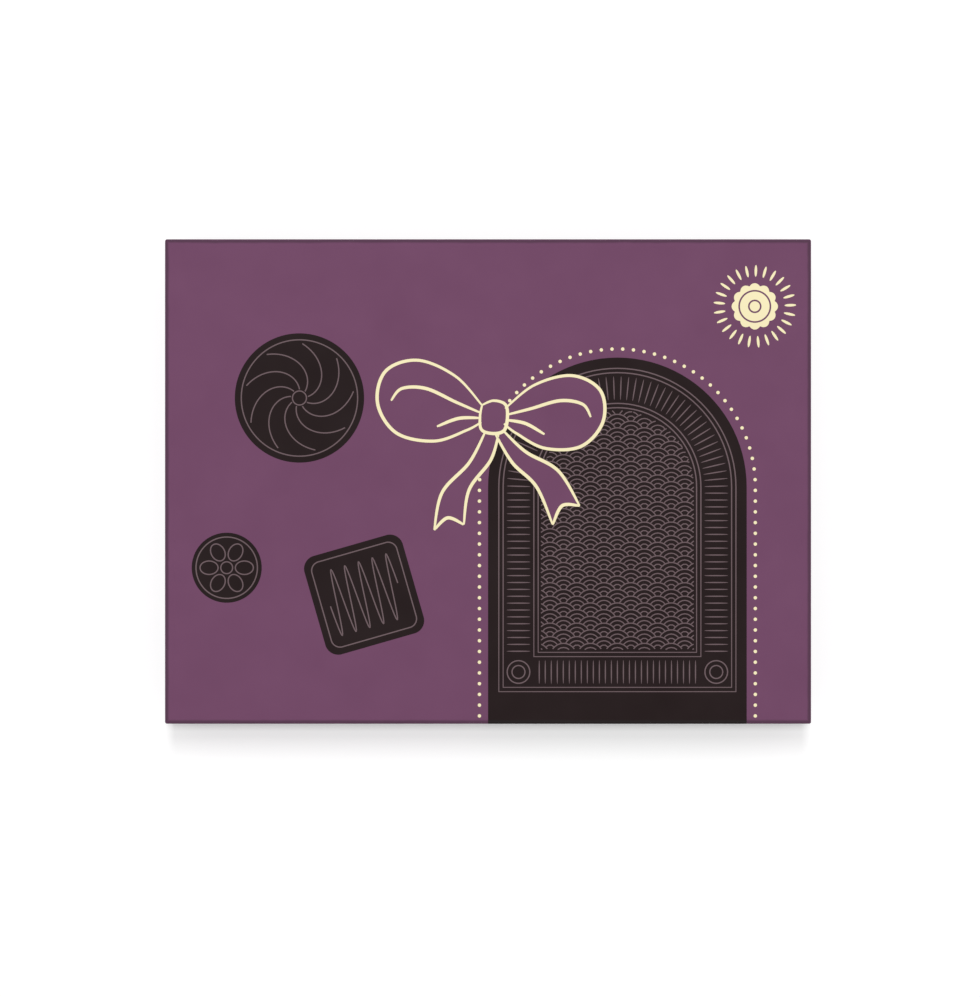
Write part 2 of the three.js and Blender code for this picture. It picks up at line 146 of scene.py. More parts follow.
def dress(obj, finishes, body, stands_for=(), crease=40):
    """Shading, finishes, and what the frame has to know about a piece."""
    if obj.name not in scene.collection.objects:
        scene.collection.objects.link(obj)
    mesh = obj.data
    mesh.polygons.foreach_set("use_smooth", np.ones(len(mesh.polygons), bool))
    mesh.set_sharp_from_angle(angle=math.radians(crease))
    for finish in finishes:
        mesh.materials.append(finish)
    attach(obj, body)
    if stands_for:
        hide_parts(*stands_for)
    return obj


def piece(name, shape, finishes, body, stands_for=(), crease=40):
    return dress(bpy.data.objects.new(name, mesh_of(name, *shape)), finishes, body, stands_for, crease)


def box_mm(node):
    low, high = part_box(node)
    return np.array(low) / MM, np.array(high) / MM


print("the lid's paper reaches from", *[corner.round(2).tolist() for corner in box_mm("lid_wrap")])

# %% [markdown]
# ## Building finishes
# A finish is a small web of nodes. Something that varies over the surface, such as fibres or bloom,
# shifts the colour, the gloss and the relief together. Such webs can be drawn in the shader editor, but
# written down they can be read, repeated and changed. These helpers add a node, feed its sockets and do
# the sums between them.


# %% Node helpers
def linear(red, green, blue):
    """A screen colour from 0 to 255 as the linear colour that a shader takes."""
    scaled = [v / 255 for v in (red, green, blue)]
    return (*[v / 12.92 if v <= 0.04045 else ((v + 0.055) / 1.055) ** 2.4 for v in scaled], 1)


def feed(tree, socket, value):
    if isinstance(value, bpy.types.NodeSocket):
        tree.links.new(value, socket)
    else:
        socket.default_value = value


def add(tree, kind, **values):
    """A shader node with its inputs or settings given by name."""
    made = tree.nodes.new("ShaderNode" + kind)
    for name, value in values.items():
        socket = made.inputs.get(name.replace("_", " "))
        if socket is None:
            setattr(made, name, value)
        else:
            feed(tree, socket, value)
    return made


def sums(tree, operation, a, b=0.5, c=0.5):
    made = add(tree, "Math", operation=operation)
    for socket, value in zip(made.inputs, (a, b, c)):
        feed(tree, socket, value)
    return made.outputs[0]


def blend_colours(tree, factor, first, second):
    made = add(tree, "Mix", data_type="RGBA")
    for index, value in ((0, factor), (6, first), (7, second)):
        feed(tree, made.inputs[index], value)
    return made.outputs[2]


def spread(tree, value, low, high, to_low=0.0, to_high=1.0, curve="LINEAR"):
    """A value moved from one range to another, straight or with soft ends."""
    made = add(tree, "MapRange", interpolation_type=curve)
    for socket, number in zip(made.inputs, (value, low, high, to_low, to_high)):
        feed(tree, socket, number)
    return made.outputs[0]


print("a middle grey on screen is", round(linear(128, 128, 128)[0], 3), "in a shader")

# %% [markdown]
# ## Groups and materials
# What several finishes share is made once as a node group with named sockets, and each material places it
# with its own values. The shader itself stays in the material, with its constant values on its own
# sockets, because an export reads them there. Patterns read the place on the piece in metres, so a fibre
# has the same size on every piece.


# %% Groups and new materials
def shader_group(name, inputs, outputs):
    tree = bpy.data.node_groups.new(name, "ShaderNodeTree")
    for side, sockets in (("INPUT", inputs), ("OUTPUT", outputs)):
        for label, kind in sockets:
            tree.interface.new_socket(label, in_out=side, socket_type="NodeSocket" + kind)
    return tree, tree.nodes.new("NodeGroupInput").outputs, tree.nodes.new("NodeGroupOutput").inputs


def use_group(tree, group, **values):
    made = tree.nodes.new("ShaderNodeGroup")
    made.node_tree = group
    for name, value in values.items():
        feed(tree, made.inputs[name.replace("_", " ")], value)
    return made.outputs


def new_finish(name, **sockets):
    """A material, its tree, its shader, and the place on the piece that patterns read."""
    made = bpy.data.materials.new(name)
    made.use_nodes = True
    tree = made.node_tree
    shader = tree.nodes["Principled BSDF"]
    for socket, value in sockets.items():
        shader.inputs[socket.replace("_", " ")].default_value = value
    return made, tree, shader, add(tree, "TexCoord").outputs["Object"]


def emboss(tree, shader, height, depth, strength):
    """Relief of some depth in millimetres, as the shader sees it."""
    bump = add(tree, "Bump", Height=height, Strength=strength, Distance=depth * MM)
    feed(tree, shader.inputs["Normal"], bump.outputs["Normal"])


print("groups so far:", len(bpy.data.node_groups))

# %% [markdown]
# ## Fibres
# Coated wrapping paper looks even from afar. Close to, fibres run through it at a tenth of a millimetre,
# and its tint drifts a little over centimetres. A scan of paper would repeat, so noise is used: fine
# noise and a felt of small cells for the fibres, and slow noise for the drift. Board and tape take the
# same group with coarser fibres.

# %% The fibre group
fibres, given, result = shader_group(
    "paper_fibres",
    [("Place", "Vector"), ("Fibre Scale", "Float"), ("Drift Scale", "Float")],
    [("Tint", "Float"), ("Relief", "Float")],
)
coarser = sums(fibres, "MULTIPLY", given["Fibre Scale"], 0.45)
fine = add(fibres, "TexNoise", Vector=given["Place"], Scale=given["Fibre Scale"], Detail=3.0, Roughness=0.6)
felt = add(fibres, "TexVoronoi", Vector=given["Place"], Scale=coarser)
drift = add(fibres, "TexNoise", Vector=given["Place"], Scale=given["Drift Scale"], Detail=2.0)
fine_share = sums(fibres, "MULTIPLY", fine.outputs["Fac"], 0.4)
feed(fibres, result["Tint"], sums(fibres, "MULTIPLY_ADD", drift.outputs["Fac"], 0.6, fine_share))
relief = sums(fibres, "MULTIPLY_ADD", felt.outputs["Distance"], 0.4, fine.outputs["Fac"])
feed(fibres, result["Relief"], relief)
print(fibres.name, "has", len(fibres.nodes), "nodes")

# %% [markdown]
# ## Painted edge shade
# A darker line of painted shade runs along each edge of the box, a little inside its outline, where the
# rounded edge turns away from the light, and it thins out again on the edge itself. It follows from the
# size of the box: on an edge, two of the three distances to the sides are small, so the middle one of the
# three says how far the nearest edge is. Noise makes the line uneven.

# %% The painted edge shade group
# Sizes of the painted shade line along the box's edges, in millimetres
SHADE_MIDDLE = 0.8  # from an edge to the middle of its line
SHADE_END = 1.9  # from an edge to where its line ends
SHADE_SWAY = 0.6  # how far the line wanders
SHADE_AT_EDGE = 0.35  # what is left of the line on the edge itself
edge_shade_group, given, result = shader_group(
    "painted_edge_shade",
    [("Place", "Vector"), ("Half Length", "Float"), ("Half Width", "Float"),
     ("Top", "Float"), ("Bottom", "Float")],
    [("Painted Shade", "Float")],
)
axes = add(edge_shade_group, "SeparateXYZ", Vector=given["Place"]).outputs
from_end = sums(edge_shade_group, "SUBTRACT", given["Half Length"], sums(edge_shade_group, "ABSOLUTE", axes["X"]))
from_side = sums(edge_shade_group, "SUBTRACT", given["Half Width"], sums(edge_shade_group, "ABSOLUTE", axes["Y"]))
from_top = sums(edge_shade_group, "SUBTRACT", given["Top"], axes["Z"])
from_level = sums(edge_shade_group, "MINIMUM", from_top, sums(edge_shade_group, "SUBTRACT", axes["Z"], given["Bottom"]))
nearer = sums(edge_shade_group, "MINIMUM", from_end, from_side)
farther = sums(edge_shade_group, "MAXIMUM", from_end, from_side)
from_edge = sums(edge_shade_group, "MAXIMUM", nearer, sums(edge_shade_group, "MINIMUM", farther, from_level))
uneven = add(edge_shade_group, "TexNoise", Vector=given["Place"], Scale=160.0, Detail=3.0).outputs["Fac"]
least = sums(edge_shade_group, "SUBTRACT", from_edge, SHADE_SWAY / 2 * MM)
line_place = sums(edge_shade_group, "MULTIPLY_ADD", uneven, SHADE_SWAY * MM, least)
# How dark the painted shade is: full on its line, fading inwards, and partly fading again towards the edge
inner_side = spread(edge_shade_group, line_place, SHADE_MIDDLE * MM, SHADE_END * MM, 1.0, 0.0, "SMOOTHSTEP")
outer_side = spread(edge_shade_group, line_place, 0.0, SHADE_MIDDLE * MM, SHADE_AT_EDGE, 1.0, "SMOOTHSTEP")
feed(edge_shade_group, result["Painted Shade"], sums(edge_shade_group, "MULTIPLY", inner_side, outer_side))
print(edge_shade_group.name, "has", len(edge_shade_group.nodes), "nodes")

# %% [markdown]
# ## Paper, board and ink
# The box is greyboard with paper tape on its corners. Plum paper covers the lid, dark paper the base, and
# cream paper lines both. Ink on coated paper is thin, so it shows the same fibres. One function makes all
# of them: they differ in colour, gloss, contrast, fibre size and depth of relief, and the two wraps and the
# dark ink are darkened along the box's edges by painted shade.


# %% Paper finishes
def shade_of(colour, share, grey=0.0):
    return (*[min(1, c * share + grey) for c in colour[:3]], 1)


def paper(name, colour, roughness, contrast, fibre=5200.0, depth=0.012, shaded_edges_of=None):
    made, tree, shader, place = new_finish(name, Specular_IOR_Level=0.15)
    stock = use_group(tree, fibres, Place=place, Fibre_Scale=fibre, Drift_Scale=60.0)
    tinted = spread(tree, stock["Tint"], 0.3, 0.7)
    tone = blend_colours(tree, tinted, shade_of(colour, 1 - contrast), shade_of(colour, 1 + contrast))
    # Along the box's edges the colour is darkened towards half its value: painted shade on the rounded edges
    if shaded_edges_of:
        low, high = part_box(shaded_edges_of)
        sides = {"Half_Length": high.x, "Half_Width": high.y, "Top": high.z, "Bottom": low.z}
        edge = use_group(tree, edge_shade_group, Place=place, **sides)
        tone = blend_colours(tree, edge["Painted Shade"], tone, shade_of(colour, 0.5, 0.008))
    feed(tree, shader.inputs["Base Color"], tone)
    gloss = spread(tree, stock["Tint"], 0.2, 0.8, roughness + 0.07, roughness - 0.07)
    feed(tree, shader.inputs["Roughness"], gloss)
    emboss(tree, shader, stock["Relief"], depth, 0.6)
    return made


# The wraps and the dark ink get painted shade along the edges of the lid or the base
plum_paper = paper("plum_paper", linear(112, 70, 100), 0.72, 0.04, shaded_edges_of="lid_wrap")
dark_paper = paper("dark_base_paper", linear(36, 26, 27), 0.66, 0.12, shaded_edges_of="base_wrap")
cream_paper = paper("cream_liner_paper", linear(238, 228, 203), 0.8, 0.04, 3400.0, 0.02)
greyboard = paper("greyboard", linear(140, 134, 125), 0.92, 0.22, 1700.0, 0.05)
kraft_tape = paper("kraft_stay_tape", linear(171, 132, 86), 0.85, 0.18, 2300.0, 0.03)
dark_ink = paper("dark_ink", linear(31, 18, 19), 0.7, 0.08, shaded_edges_of="lid_wrap")
line_ink = paper("mauve_line_ink", linear(110, 92, 96), 0.7, 0.05)
cream_ink = paper("cream_ink", linear(246, 235, 190), 0.62, 0.03)
print("stock:", [m.name for m in (plum_paper, dark_paper, cream_paper, greyboard, kraft_tape)])

# %% [markdown]
# ## Paper turned round an edge
# A wrap is one sheet that goes over an edge, down a wall, round the rim and up inside. A plane with
# bevelled edges would have no thickness at the rim. Here the section is drawn as a path of insets and
# heights, with an arc wherever the paper bends, and a rounded rectangle is set at each point of the path.

# %% Bends and wraps
PAPER = 0.3  # thickness of the wrapping paper
TURN_IN = 14.0  # how far it goes up inside the wall
TURN_UNDER = 15.0  # how far it goes under the floor
WALL = 2.3  # wrap, tape, board and turned-in paper together
CORNER = 0.8  # radius of the box's upright corners
TIGHTEST = 0.12  # radius of the same corners inside the wall
EDGE = 0.9  # radius over the edge of the board
FOLD = 0.45  # radius round the rim
FLAT = 3.0  # from a bent edge to the first ring on the lid's top
UPRIGHT = 6.0  # from a rim to the next ring on its wall


def bend(inset, z, radius, start, end, steps=7):
    """Insets and heights on an arc about a point, from one angle to another, in degrees."""
    angles = np.radians(np.linspace(start, end, steps))
    return [(inset - radius * math.cos(a), z + radius * math.sin(a)) for a in angles]


def wrap(half, path, endless=False):
    rings = []
    for inset, z in path:
        outline = rounded(half[0] - inset, half[1] - inset, max(CORNER - inset, TIGHTEST), 7)
        rings.append(at_height(outline, z))
    return stack(rings, endless)


print("a quarter bend has", len(bend(EDGE, 0, EDGE, 90, 0)), "points")

# %% [markdown]
# ## The lid's paper
# The lid's sheet covers the top and ends inside against the board. The path runs over the outside first
# and comes back along the board's side of the paper, so the sheet is closed and has its own thickness.

# %% Lid wrap
lid_low, lid_high = box_mm("lid_wrap")
lid_half = (lid_high - lid_low)[:2] / 2
lid_top, lid_rim = lid_high[2], lid_low[2]
lid_path = [(EDGE + FLAT, lid_top)]
lid_path += bend(EDGE, lid_top - EDGE, EDGE, 90, 0, 9)
lid_path += [(0, lid_rim + UPRIGHT)]
lid_path += bend(FOLD, lid_rim + FOLD, FOLD, 0, -90)
lid_path += bend(WALL - FOLD, lid_rim + FOLD, FOLD, 270, 180)
lid_path += [(WALL, lid_rim + TURN_IN), (WALL - PAPER, lid_rim + TURN_IN), (WALL - PAPER, lid_rim + PAPER)]
lid_path += [(PAPER, lid_rim + PAPER), (PAPER, lid_top - PAPER - EDGE / 2)]
lid_path += [(PAPER + EDGE / 2, lid_top - PAPER)]
lid_paper = piece("lid_paper", wrap(lid_half, lid_path), [plum_paper], "lid", ["lid_wrap"], 50)
print(lid_paper.name, len(lid_paper.data.polygons), "faces")

# %% [markdown]
# ## The base's paper
# The base is wrapped the same way, the other way up. Its paper is turned under the floor, where a flat
# sheet covers the edges. This path meets itself again, so the stack is endless and needs no end faces.

# %% Base wrap
base_low, base_high = box_mm("base_wrap")
base_half = (base_high - base_low)[:2] / 2
under, base_rim = base_low[2], base_high[2]
base_path = [(TURN_UNDER, under + PAPER), (TURN_UNDER, under)]
base_path += bend(EDGE, under + EDGE, EDGE, -90, 0)
base_path += [(0, base_rim - UPRIGHT)]
base_path += bend(FOLD, base_rim - FOLD, FOLD, 0, 90)
base_path += bend(WALL - FOLD, base_rim - FOLD, FOLD, 90, 180)
base_path += [(WALL, base_rim - TURN_IN), (WALL - PAPER, base_rim - TURN_IN)]
base_path += [(WALL - PAPER, base_rim - PAPER), (PAPER, base_rim - PAPER)]
base_path += [(PAPER, under + PAPER + EDGE / 2), (PAPER + EDGE / 2, under + PAPER)]
base_sheet = wrap(base_half, base_path, True)
base_paper = piece("base_paper", base_sheet, [dark_paper], "base", ["base_wrap"], 50)
print(base_paper.name, len(base_paper.data.polygons), "faces")

# %% [markdown]
# ## Boards, tape and liners
# These flat pieces already have their true shape in the frame. New meshes would only copy it, so they
# stay and take a finish.

# %% Finishes on the flat pieces
flat_finish = {"_board": greyboard, "_stay_": kraft_tape, "_liner": cream_paper, "bottom_sheet": dark_paper}
flat_pieces = 0
for name, obj in nodes.items():
    for part, finish in flat_finish.items():
        if part in name:
            obj.data.materials.clear()
            obj.data.materials.append(finish)
            flat_pieces += 1
print("flat pieces:", flat_pieces)

# %% [markdown]
# ## Trees that make shapes
# Printed lines, rays, icing and crumbs repeat or follow a path. Placing them by hand would take hours, so
# Geometry Nodes make them: something simple goes in, and a tree sweeps a section along it or sets a shape
# on it again and again. Every tree ends in real geometry with its finish on, because an export drops
# instances.


# %% Tree helpers
def shape_tree(name, inputs):
    tree = bpy.data.node_groups.new(name, "GeometryNodeTree")
    tree.interface.new_socket("Geometry", in_out="INPUT", socket_type="NodeSocketGeometry")
    for label, kind in inputs:
        tree.interface.new_socket(label, in_out="INPUT", socket_type="NodeSocket" + kind)
    tree.interface.new_socket("Geometry", in_out="OUTPUT", socket_type="NodeSocketGeometry")
    return tree, tree.nodes.new("NodeGroupInput").outputs, tree.nodes.new("NodeGroupOutput").inputs


def geo(tree, kind, **values):
    """A geometry node with its inputs or settings given by name."""
    made = tree.nodes.new("GeometryNode" + kind)
    for name, value in values.items():
        socket = made.inputs.get(name.replace("_", " "))
        if socket is None:
            setattr(made, name, value)
        else:
            feed(tree, socket, value)
    return made.outputs


def end_tree(tree, shape, finish, result):
    """How each tree ends: real geometry, smooth, with its finish."""
    solid = geo(tree, "RealizeInstances", Geometry=shape)["Geometry"]
    smooth = geo(tree, "SetShadeSmooth", Geometry=solid)["Geometry"]
    feed(tree, result["Geometry"], geo(tree, "SetMaterial", Geometry=smooth, Material=finish)["Geometry"])
    print(tree.name, "has", len(tree.nodes), "nodes")


print("trees so far:", len([tree for tree in bpy.data.node_groups if tree.bl_idname == "GeometryNodeTree"]))

# %% [markdown]
# ## Running a tree
# A tree works as a modifier on a carrier, which is a curve or a mesh. Once the sizes are set, the
# evaluated result is kept as a plain mesh and the carrier is thrown away, so no live modifier is left in
# the scene. A path is a curve whose points also carry a width, which lets a stroke thin out.


# %% Grown pieces and paths
def grown(name, source, tree, **values):
    carrier = bpy.data.objects.new(name + "_carrier", source)
    scene.collection.objects.link(carrier)
    modifier = carrier.modifiers.new("grow", "NODES")
    modifier.node_group = tree
    sockets = {s.name: s.identifier for s in tree.interface.items_tree if s.in_out == "INPUT"}
    for label, value in values.items():
        modifier[sockets[label.replace("_", " ")]] = value
    mesh = bpy.data.meshes.new_from_object(carrier.evaluated_get(bpy.context.evaluated_depsgraph_get()))
    mesh.name = name
    bpy.data.objects.remove(carrier)
    bpy.data.batch_remove([source])
    return bpy.data.objects.new(name, mesh)


def paths(name, lines, widths=None, closed=False):
    """Lines in millimetres as one curve, each point with a relative width."""
    curve = bpy.data.curves.new(name, "CURVE")
    curve.dimensions = "3D"
    for number, line in enumerate(lines):
        spline = curve.splines.new("POLY")
        spline.points.add(len(line) - 1)
        spline.use_cyclic_u = closed
        width = np.ones(len(line)) if widths is None else widths[number]
        for point, place, share in zip(spline.points, line, width):
            point.co = (*(np.asarray(place) * MM), 1)
            point.radius = share
    return curve


print("lines are printed at a height of", round(lid_top, 2), "mm")

# %% [markdown]
# ## The print and its places
# The lid carries two inks, a near-black and a cream, and finer lines where the dark ink is left thin. The
# design is a plain one: a dark arch with scallops, three dark sweets, a cream bow, beads and a rosette.
# Here its outlines get their sizes and places on the lid, in millimetres from its middle.

# %% Outlines of the print
INK = 0.03  # height of the ink on the paper
BED = 0.02  # how deep the ink is let into the paper
OVER = INK + 0.005  # height of the middle of a line on the dark areas
FINE = 0.45  # width of a fine line
ARCH, ARCH_HALF = (48.0, -2.0), 48.0
ROUND_SWEET, ROUND_SIZE = (-70.0, 31.0), 24.0
SQUARE_SWEET, SQUARE_SIZE, SQUARE_CORNER, SQUARE_TURN = (-46.0, -42.0), 19.0, 5.0, math.radians(16)
SMALL_SWEET, SMALL_SIZE = (-97.0, -32.0), 13.0
BOW = (2.0, 24.0)
ROSETTE = (99.0, 65.0)
front = -lid_half[1]


def ring_of(place, radius, count=64):
    return from_centre(once_round(count), radius) + place


def turned(points, angle, place=(0, 0)):
    c, s = math.cos(angle), math.sin(angle)
    return np.asarray(points) @ np.array([[c, s], [-s, c]]) + place


def arch(inset, foot, count=49):
    """The outline of the arch from its right foot over the top to its left foot."""
    reach = ARCH_HALF - inset
    top = from_centre(np.linspace(0, np.pi, count), reach) + ARCH
    return np.vstack(([ARCH[0] + reach, foot], top, [ARCH[0] - reach, foot]))


print("the arch is", 2 * ARCH_HALF, "mm wide and", round(ARCH[1] + ARCH_HALF - front, 1), "mm high")

# %% [markdown]
# ## Dark ink
# Printed ink has hardly any height. A pattern in the paper's own finish would do from afar, but an inlay
# a few hundredths of a millimetre thick keeps a crisp edge at any distance. The arch runs over the front
# edge, down the wall and into the lid, as a print that bleeds off does, so its sheet follows the paper's
# bends and then gets its thickness.


# %% Ink on the arch
def thicken(obj, thickness):
    """A sheet gets its thickness on the side away from its faces."""
    scene.collection.objects.link(obj)
    wall = obj.modifiers.new("wall", "SOLIDIFY")
    wall.thickness = thickness * MM
    wall.offset = -1
    wall.use_even_offset = True
    obj.data = bpy.data.meshes.new_from_object(obj.evaluated_get(bpy.context.evaluated_depsgraph_get()))
    obj.modifiers.clear()
    return obj


fold_path = bend(EDGE, lid_top - EDGE, EDGE + INK, 90, 0, 9)
fold_path += bend(FOLD, lid_rim + FOLD, FOLD + INK, 0, -90)
fold_path += bend(WALL - FOLD, lid_rim + FOLD, FOLD + INK, 270, 180) + [(WALL + INK, lid_rim + TURN_IN)]
arch_points = at_height(arch(0, front + EDGE), lid_top + INK).tolist()
arch_faces = [list(range(len(arch_points)))]
right, left = 0, len(arch_points) - 1
for inset, z in fold_path[1:]:
    new_left = len(arch_points)
    arch_points += [(ARCH[0] - ARCH_HALF, front + inset, z), (ARCH[0] + ARCH_HALF, front + inset, z)]
    arch_faces.append([right, left, new_left, new_left + 1])
    left, right = new_left, new_left + 1
arch_ink = bpy.data.objects.new("print_arch", mesh_of("print_arch", arch_points, arch_faces))
dress(thicken(arch_ink, INK + BED), [dark_ink], "lid")
print("arch:", len(arch_ink.data.polygons), "faces")


# %% Ink on the sweets
def inlay(outlines, high):
    """Flat printed areas as one thin closed shape."""
    points, faces = [], []
    for outline in outlines:
        shape, sides = stack([at_height(outline, lid_top - BED), at_height(outline, high)])
        faces += [[i + len(points) for i in face] for face in sides]
        points += shape.tolist()
    return points, faces


square_sweet = turned(rounded(SQUARE_SIZE, SQUARE_SIZE, SQUARE_CORNER, 8), SQUARE_TURN, SQUARE_SWEET)
dark_areas = [ring_of(ROUND_SWEET, ROUND_SIZE, 96), square_sweet, ring_of(SMALL_SWEET, SMALL_SIZE)]
piece("print_sweets", inlay(dark_areas, lid_top + INK), [dark_ink], "lid")
print("dark sweets:", len(dark_areas))

# %% [markdown]
# ## Line work
# Each line of the print is a path. One tree draws all of them: it sweeps a flat section along the path
# and takes the line's width from each point. A curve's own bevel could do that too, but it gives a round
# section, and ink is flat.


# %% The line tree
def flat_sweep(tree, curve, width, **more):
    """A ribbon of ink along a curve."""
    level = geo(tree, "SetCurveNormal", Curve=curve, mode="Z_UP")["Curve"]
    section = geo(tree, "CurvePrimitiveQuadrilateral", Width=width, Height=INK * MM)["Curve"]
    return geo(tree, "CurveToMesh", Curve=level, Profile_Curve=section, Fill_Caps=True, **more)["Mesh"]


line_tree, given, result = shape_tree("printed_line", [("Width", "Float"), ("Ink", "Material")])
share = geo(line_tree, "InputRadius")["Radius"]
ribbons = flat_sweep(line_tree, given["Geometry"], given["Width"], Scale=share)
end_tree(line_tree, ribbons, given["Ink"], result)


def lines_on_lid(name, lines, width, ink, height, widths=None, closed=False):
    flat = [at_height(np.asarray(line), lid_top + height) for line in lines]
    made = grown(name, paths(name, flat, widths, closed), line_tree, Width=width * MM, Ink=ink)
    print(name, "has", len(lines), "lines")
    return dress(made, [], "lid")


# %% Lines on the sweets
ARMS = 9  # of the swirl on the round sweet
SWEEP = 1.5  # how far an arm turns, in radians
ZIGZAG_HALF, ZIGZAG_RISE, ZIGZAG_WAVE = 13.2, 12.4, 5.3
PETALS = 6
PETAL_START, PETAL_LENGTH, PETAL_HALF = 3.2, 6.7, 2.5
BORDER = 2.6  # from the square sweet's outline to the line inside it
reach = np.linspace(3.2, 20.2, 24)
arms = np.arange(ARMS) * 2 * np.pi / ARMS
swirl = [from_centre(arm + SWEEP * (reach / 20) ** 1.2, reach) + ROUND_SWEET for arm in arms]
x = np.linspace(-ZIGZAG_HALF, ZIGZAG_HALF, 120)
zigzag = np.column_stack((x, ZIGZAG_RISE * np.sin(x * 2 * np.pi / ZIGZAG_WAVE)))
open_lines = [*swirl, turned(zigzag, SQUARE_TURN, SQUARE_SWEET)]
lines_on_lid("print_fine_lines", open_lines, FINE, line_ink, OVER)

half_turn = np.linspace(0, np.pi, 24)
along, across = PETAL_LENGTH * np.sin(half_turn / 2) ** 2, PETAL_HALF * np.sin(half_turn)
petal = np.column_stack((PETAL_START + along, across))
petal = np.vstack((petal, petal[-2:0:-1] * (1, -1)))
closed_lines = [turned(petal, k * 2 * np.pi / PETALS, SMALL_SWEET) for k in range(PETALS)]
closed_lines += [ring_of(ROUND_SWEET, radius, 96) for radius in (21.6, 2.6)]
closed_lines += [ring_of(SMALL_SWEET, radius) for radius in (11.4, 2.2)]
inner_square = rounded(SQUARE_SIZE - BORDER, SQUARE_SIZE - BORDER, 3.4, 8)
closed_lines.append(turned(inner_square, SQUARE_TURN, SQUARE_SWEET))

# %% Lines in the arch
FOOT = 8.0  # from the lid's front to the foot of the arch's frame, before its inset
FRAME_LINES = (4.0, 5.6, 17.0, 18.6)  # insets from the arch's outline
RAIL = (FRAME_LINES[1] + FRAME_LINES[2]) / 2  # the middle of the band of rays
FOOT_RAIL = front + FOOT + RAIL
closed_lines += [arch(inset, front + FOOT + inset) for inset in FRAME_LINES]
for corner in (ARCH[0] - ARCH_HALF + RAIL, ARCH[0] + ARCH_HALF - RAIL):
    closed_lines += [ring_of((corner, FOOT_RAIL), radius) for radius in (4.2, 2.4)]
lines_on_lid("print_fine_rings", closed_lines, FINE, line_ink, OVER, closed=True)

# %% [markdown]
# ## Scallops
# Rows of scallops fill the window of the arch. Each is three bows, one inside the other, and the rows are
# staggered. A tree sets the bows on points, cuts off what lies outside the window and turns the rest into
# ribbons of ink. The cut is made on plain edges, before they become ribbons, so each line ends cleanly at
# the window.

# %% The scallop tree
SCALLOP_BOWS = ((0.97, 31), (0.66, 36), (0.35, 36))  # share of the radius, degrees left out at each end
scallop_tree, given, result = shape_tree(
    "scallops_in_arch",
    [("Radius", "Float"), ("Width", "Float"), ("Middle", "Vector"), ("Reach", "Float"), ("Foot", "Float"),
     ("Ink", "Material")],
)
bows = scallop_tree.nodes.new("GeometryNodeJoinGeometry")
for share, start in SCALLOP_BOWS:
    size = sums(scallop_tree, "MULTIPLY", given["Radius"], share)
    bow = geo(scallop_tree, "CurveArc", Resolution=32, Radius=size, Start_Angle=math.radians(start),
              Sweep_Angle=math.radians(180 - 2 * start))["Curve"]
    scallop_tree.links.new(bow, bows.inputs[0])
spots = geo(scallop_tree, "MeshToPoints", Mesh=given["Geometry"])["Points"]
field = geo(scallop_tree, "InstanceOnPoints", Points=spots, Instance=bows.outputs[0])["Instances"]
field = geo(scallop_tree, "RealizeInstances", Geometry=field)["Geometry"]
edges = geo(scallop_tree, "CurveToMesh", Curve=field)["Mesh"]
from_middle = add(scallop_tree, "VectorMath", operation="SUBTRACT")
feed(scallop_tree, from_middle.inputs[0], geo(scallop_tree, "InputPosition")["Position"])
feed(scallop_tree, from_middle.inputs[1], given["Middle"])
axes = add(scallop_tree, "SeparateXYZ", Vector=from_middle.outputs[0]).outputs
above = sums(scallop_tree, "MAXIMUM", axes["Y"], 0.0)
aside = sums(scallop_tree, "MULTIPLY", axes["X"], axes["X"])
distance = sums(scallop_tree, "SQRT", sums(scallop_tree, "MULTIPLY_ADD", above, above, aside))
beyond = sums(scallop_tree, "GREATER_THAN", distance, given["Reach"])
too_low = sums(scallop_tree, "LESS_THAN", axes["Y"], given["Foot"])
outside = sums(scallop_tree, "MAXIMUM", beyond, too_low)
kept = geo(scallop_tree, "DeleteGeometry", Geometry=edges, Selection=outside, domain="POINT")["Geometry"]
lines = geo(scallop_tree, "MeshToCurve", Mesh=kept)["Curve"]
even = geo(scallop_tree, "ResampleCurve", mode="LENGTH", Curve=lines, Length=1.0 * MM)["Curve"]
end_tree(scallop_tree, flat_sweep(scallop_tree, even, given["Width"]), given["Ink"], result)

# %% Scallops in the window
SCALLOP = 5.0
SCALLOP_ROWS = 36
SCALLOP_COLUMNS = range(-4, 4)
WINDOW_INSET = FRAME_LINES[-1] + 1.0
WINDOW = ARCH_HALF - WINDOW_INSET
WINDOW_FOOT = front + FOOT + WINDOW_INSET
centres = []
for row in range(SCALLOP_ROWS):
    for column in SCALLOP_COLUMNS:
        x = (2 * column + row % 2) * SCALLOP
        y = WINDOW_FOOT + (row - 1) * SCALLOP / 2
        if math.hypot(x, max(0, y - ARCH[1])) < WINDOW + SCALLOP / 2:
            centres.append((ARCH[0] + x, y, lid_top + OVER))
places = bpy.data.meshes.new("scallop_places")
places.from_pydata((np.array(centres) * MM).tolist(), [], [])
scallops = grown(
    "print_scallops", places, scallop_tree, Radius=SCALLOP * MM, Width=0.9 * FINE * MM, Reach=WINDOW * MM,
    Middle=(ARCH[0] * MM, ARCH[1] * MM, 0), Foot=(WINDOW_FOOT - ARCH[1]) * MM, Ink=line_ink,
)
dress(scallops, [], "lid")
print("scallops:", len(centres), "with", len(scallops.data.polygons), "faces")

# %% [markdown]
# ## Marks in a row
# Rays stand in the band of the arch and round the rosette, and beads follow the arch outside. All of them
# are one stretched disc on points along a path, turned with the path. The path is cut into short even
# steps first, so that the marks stand square to it on its straight runs too.

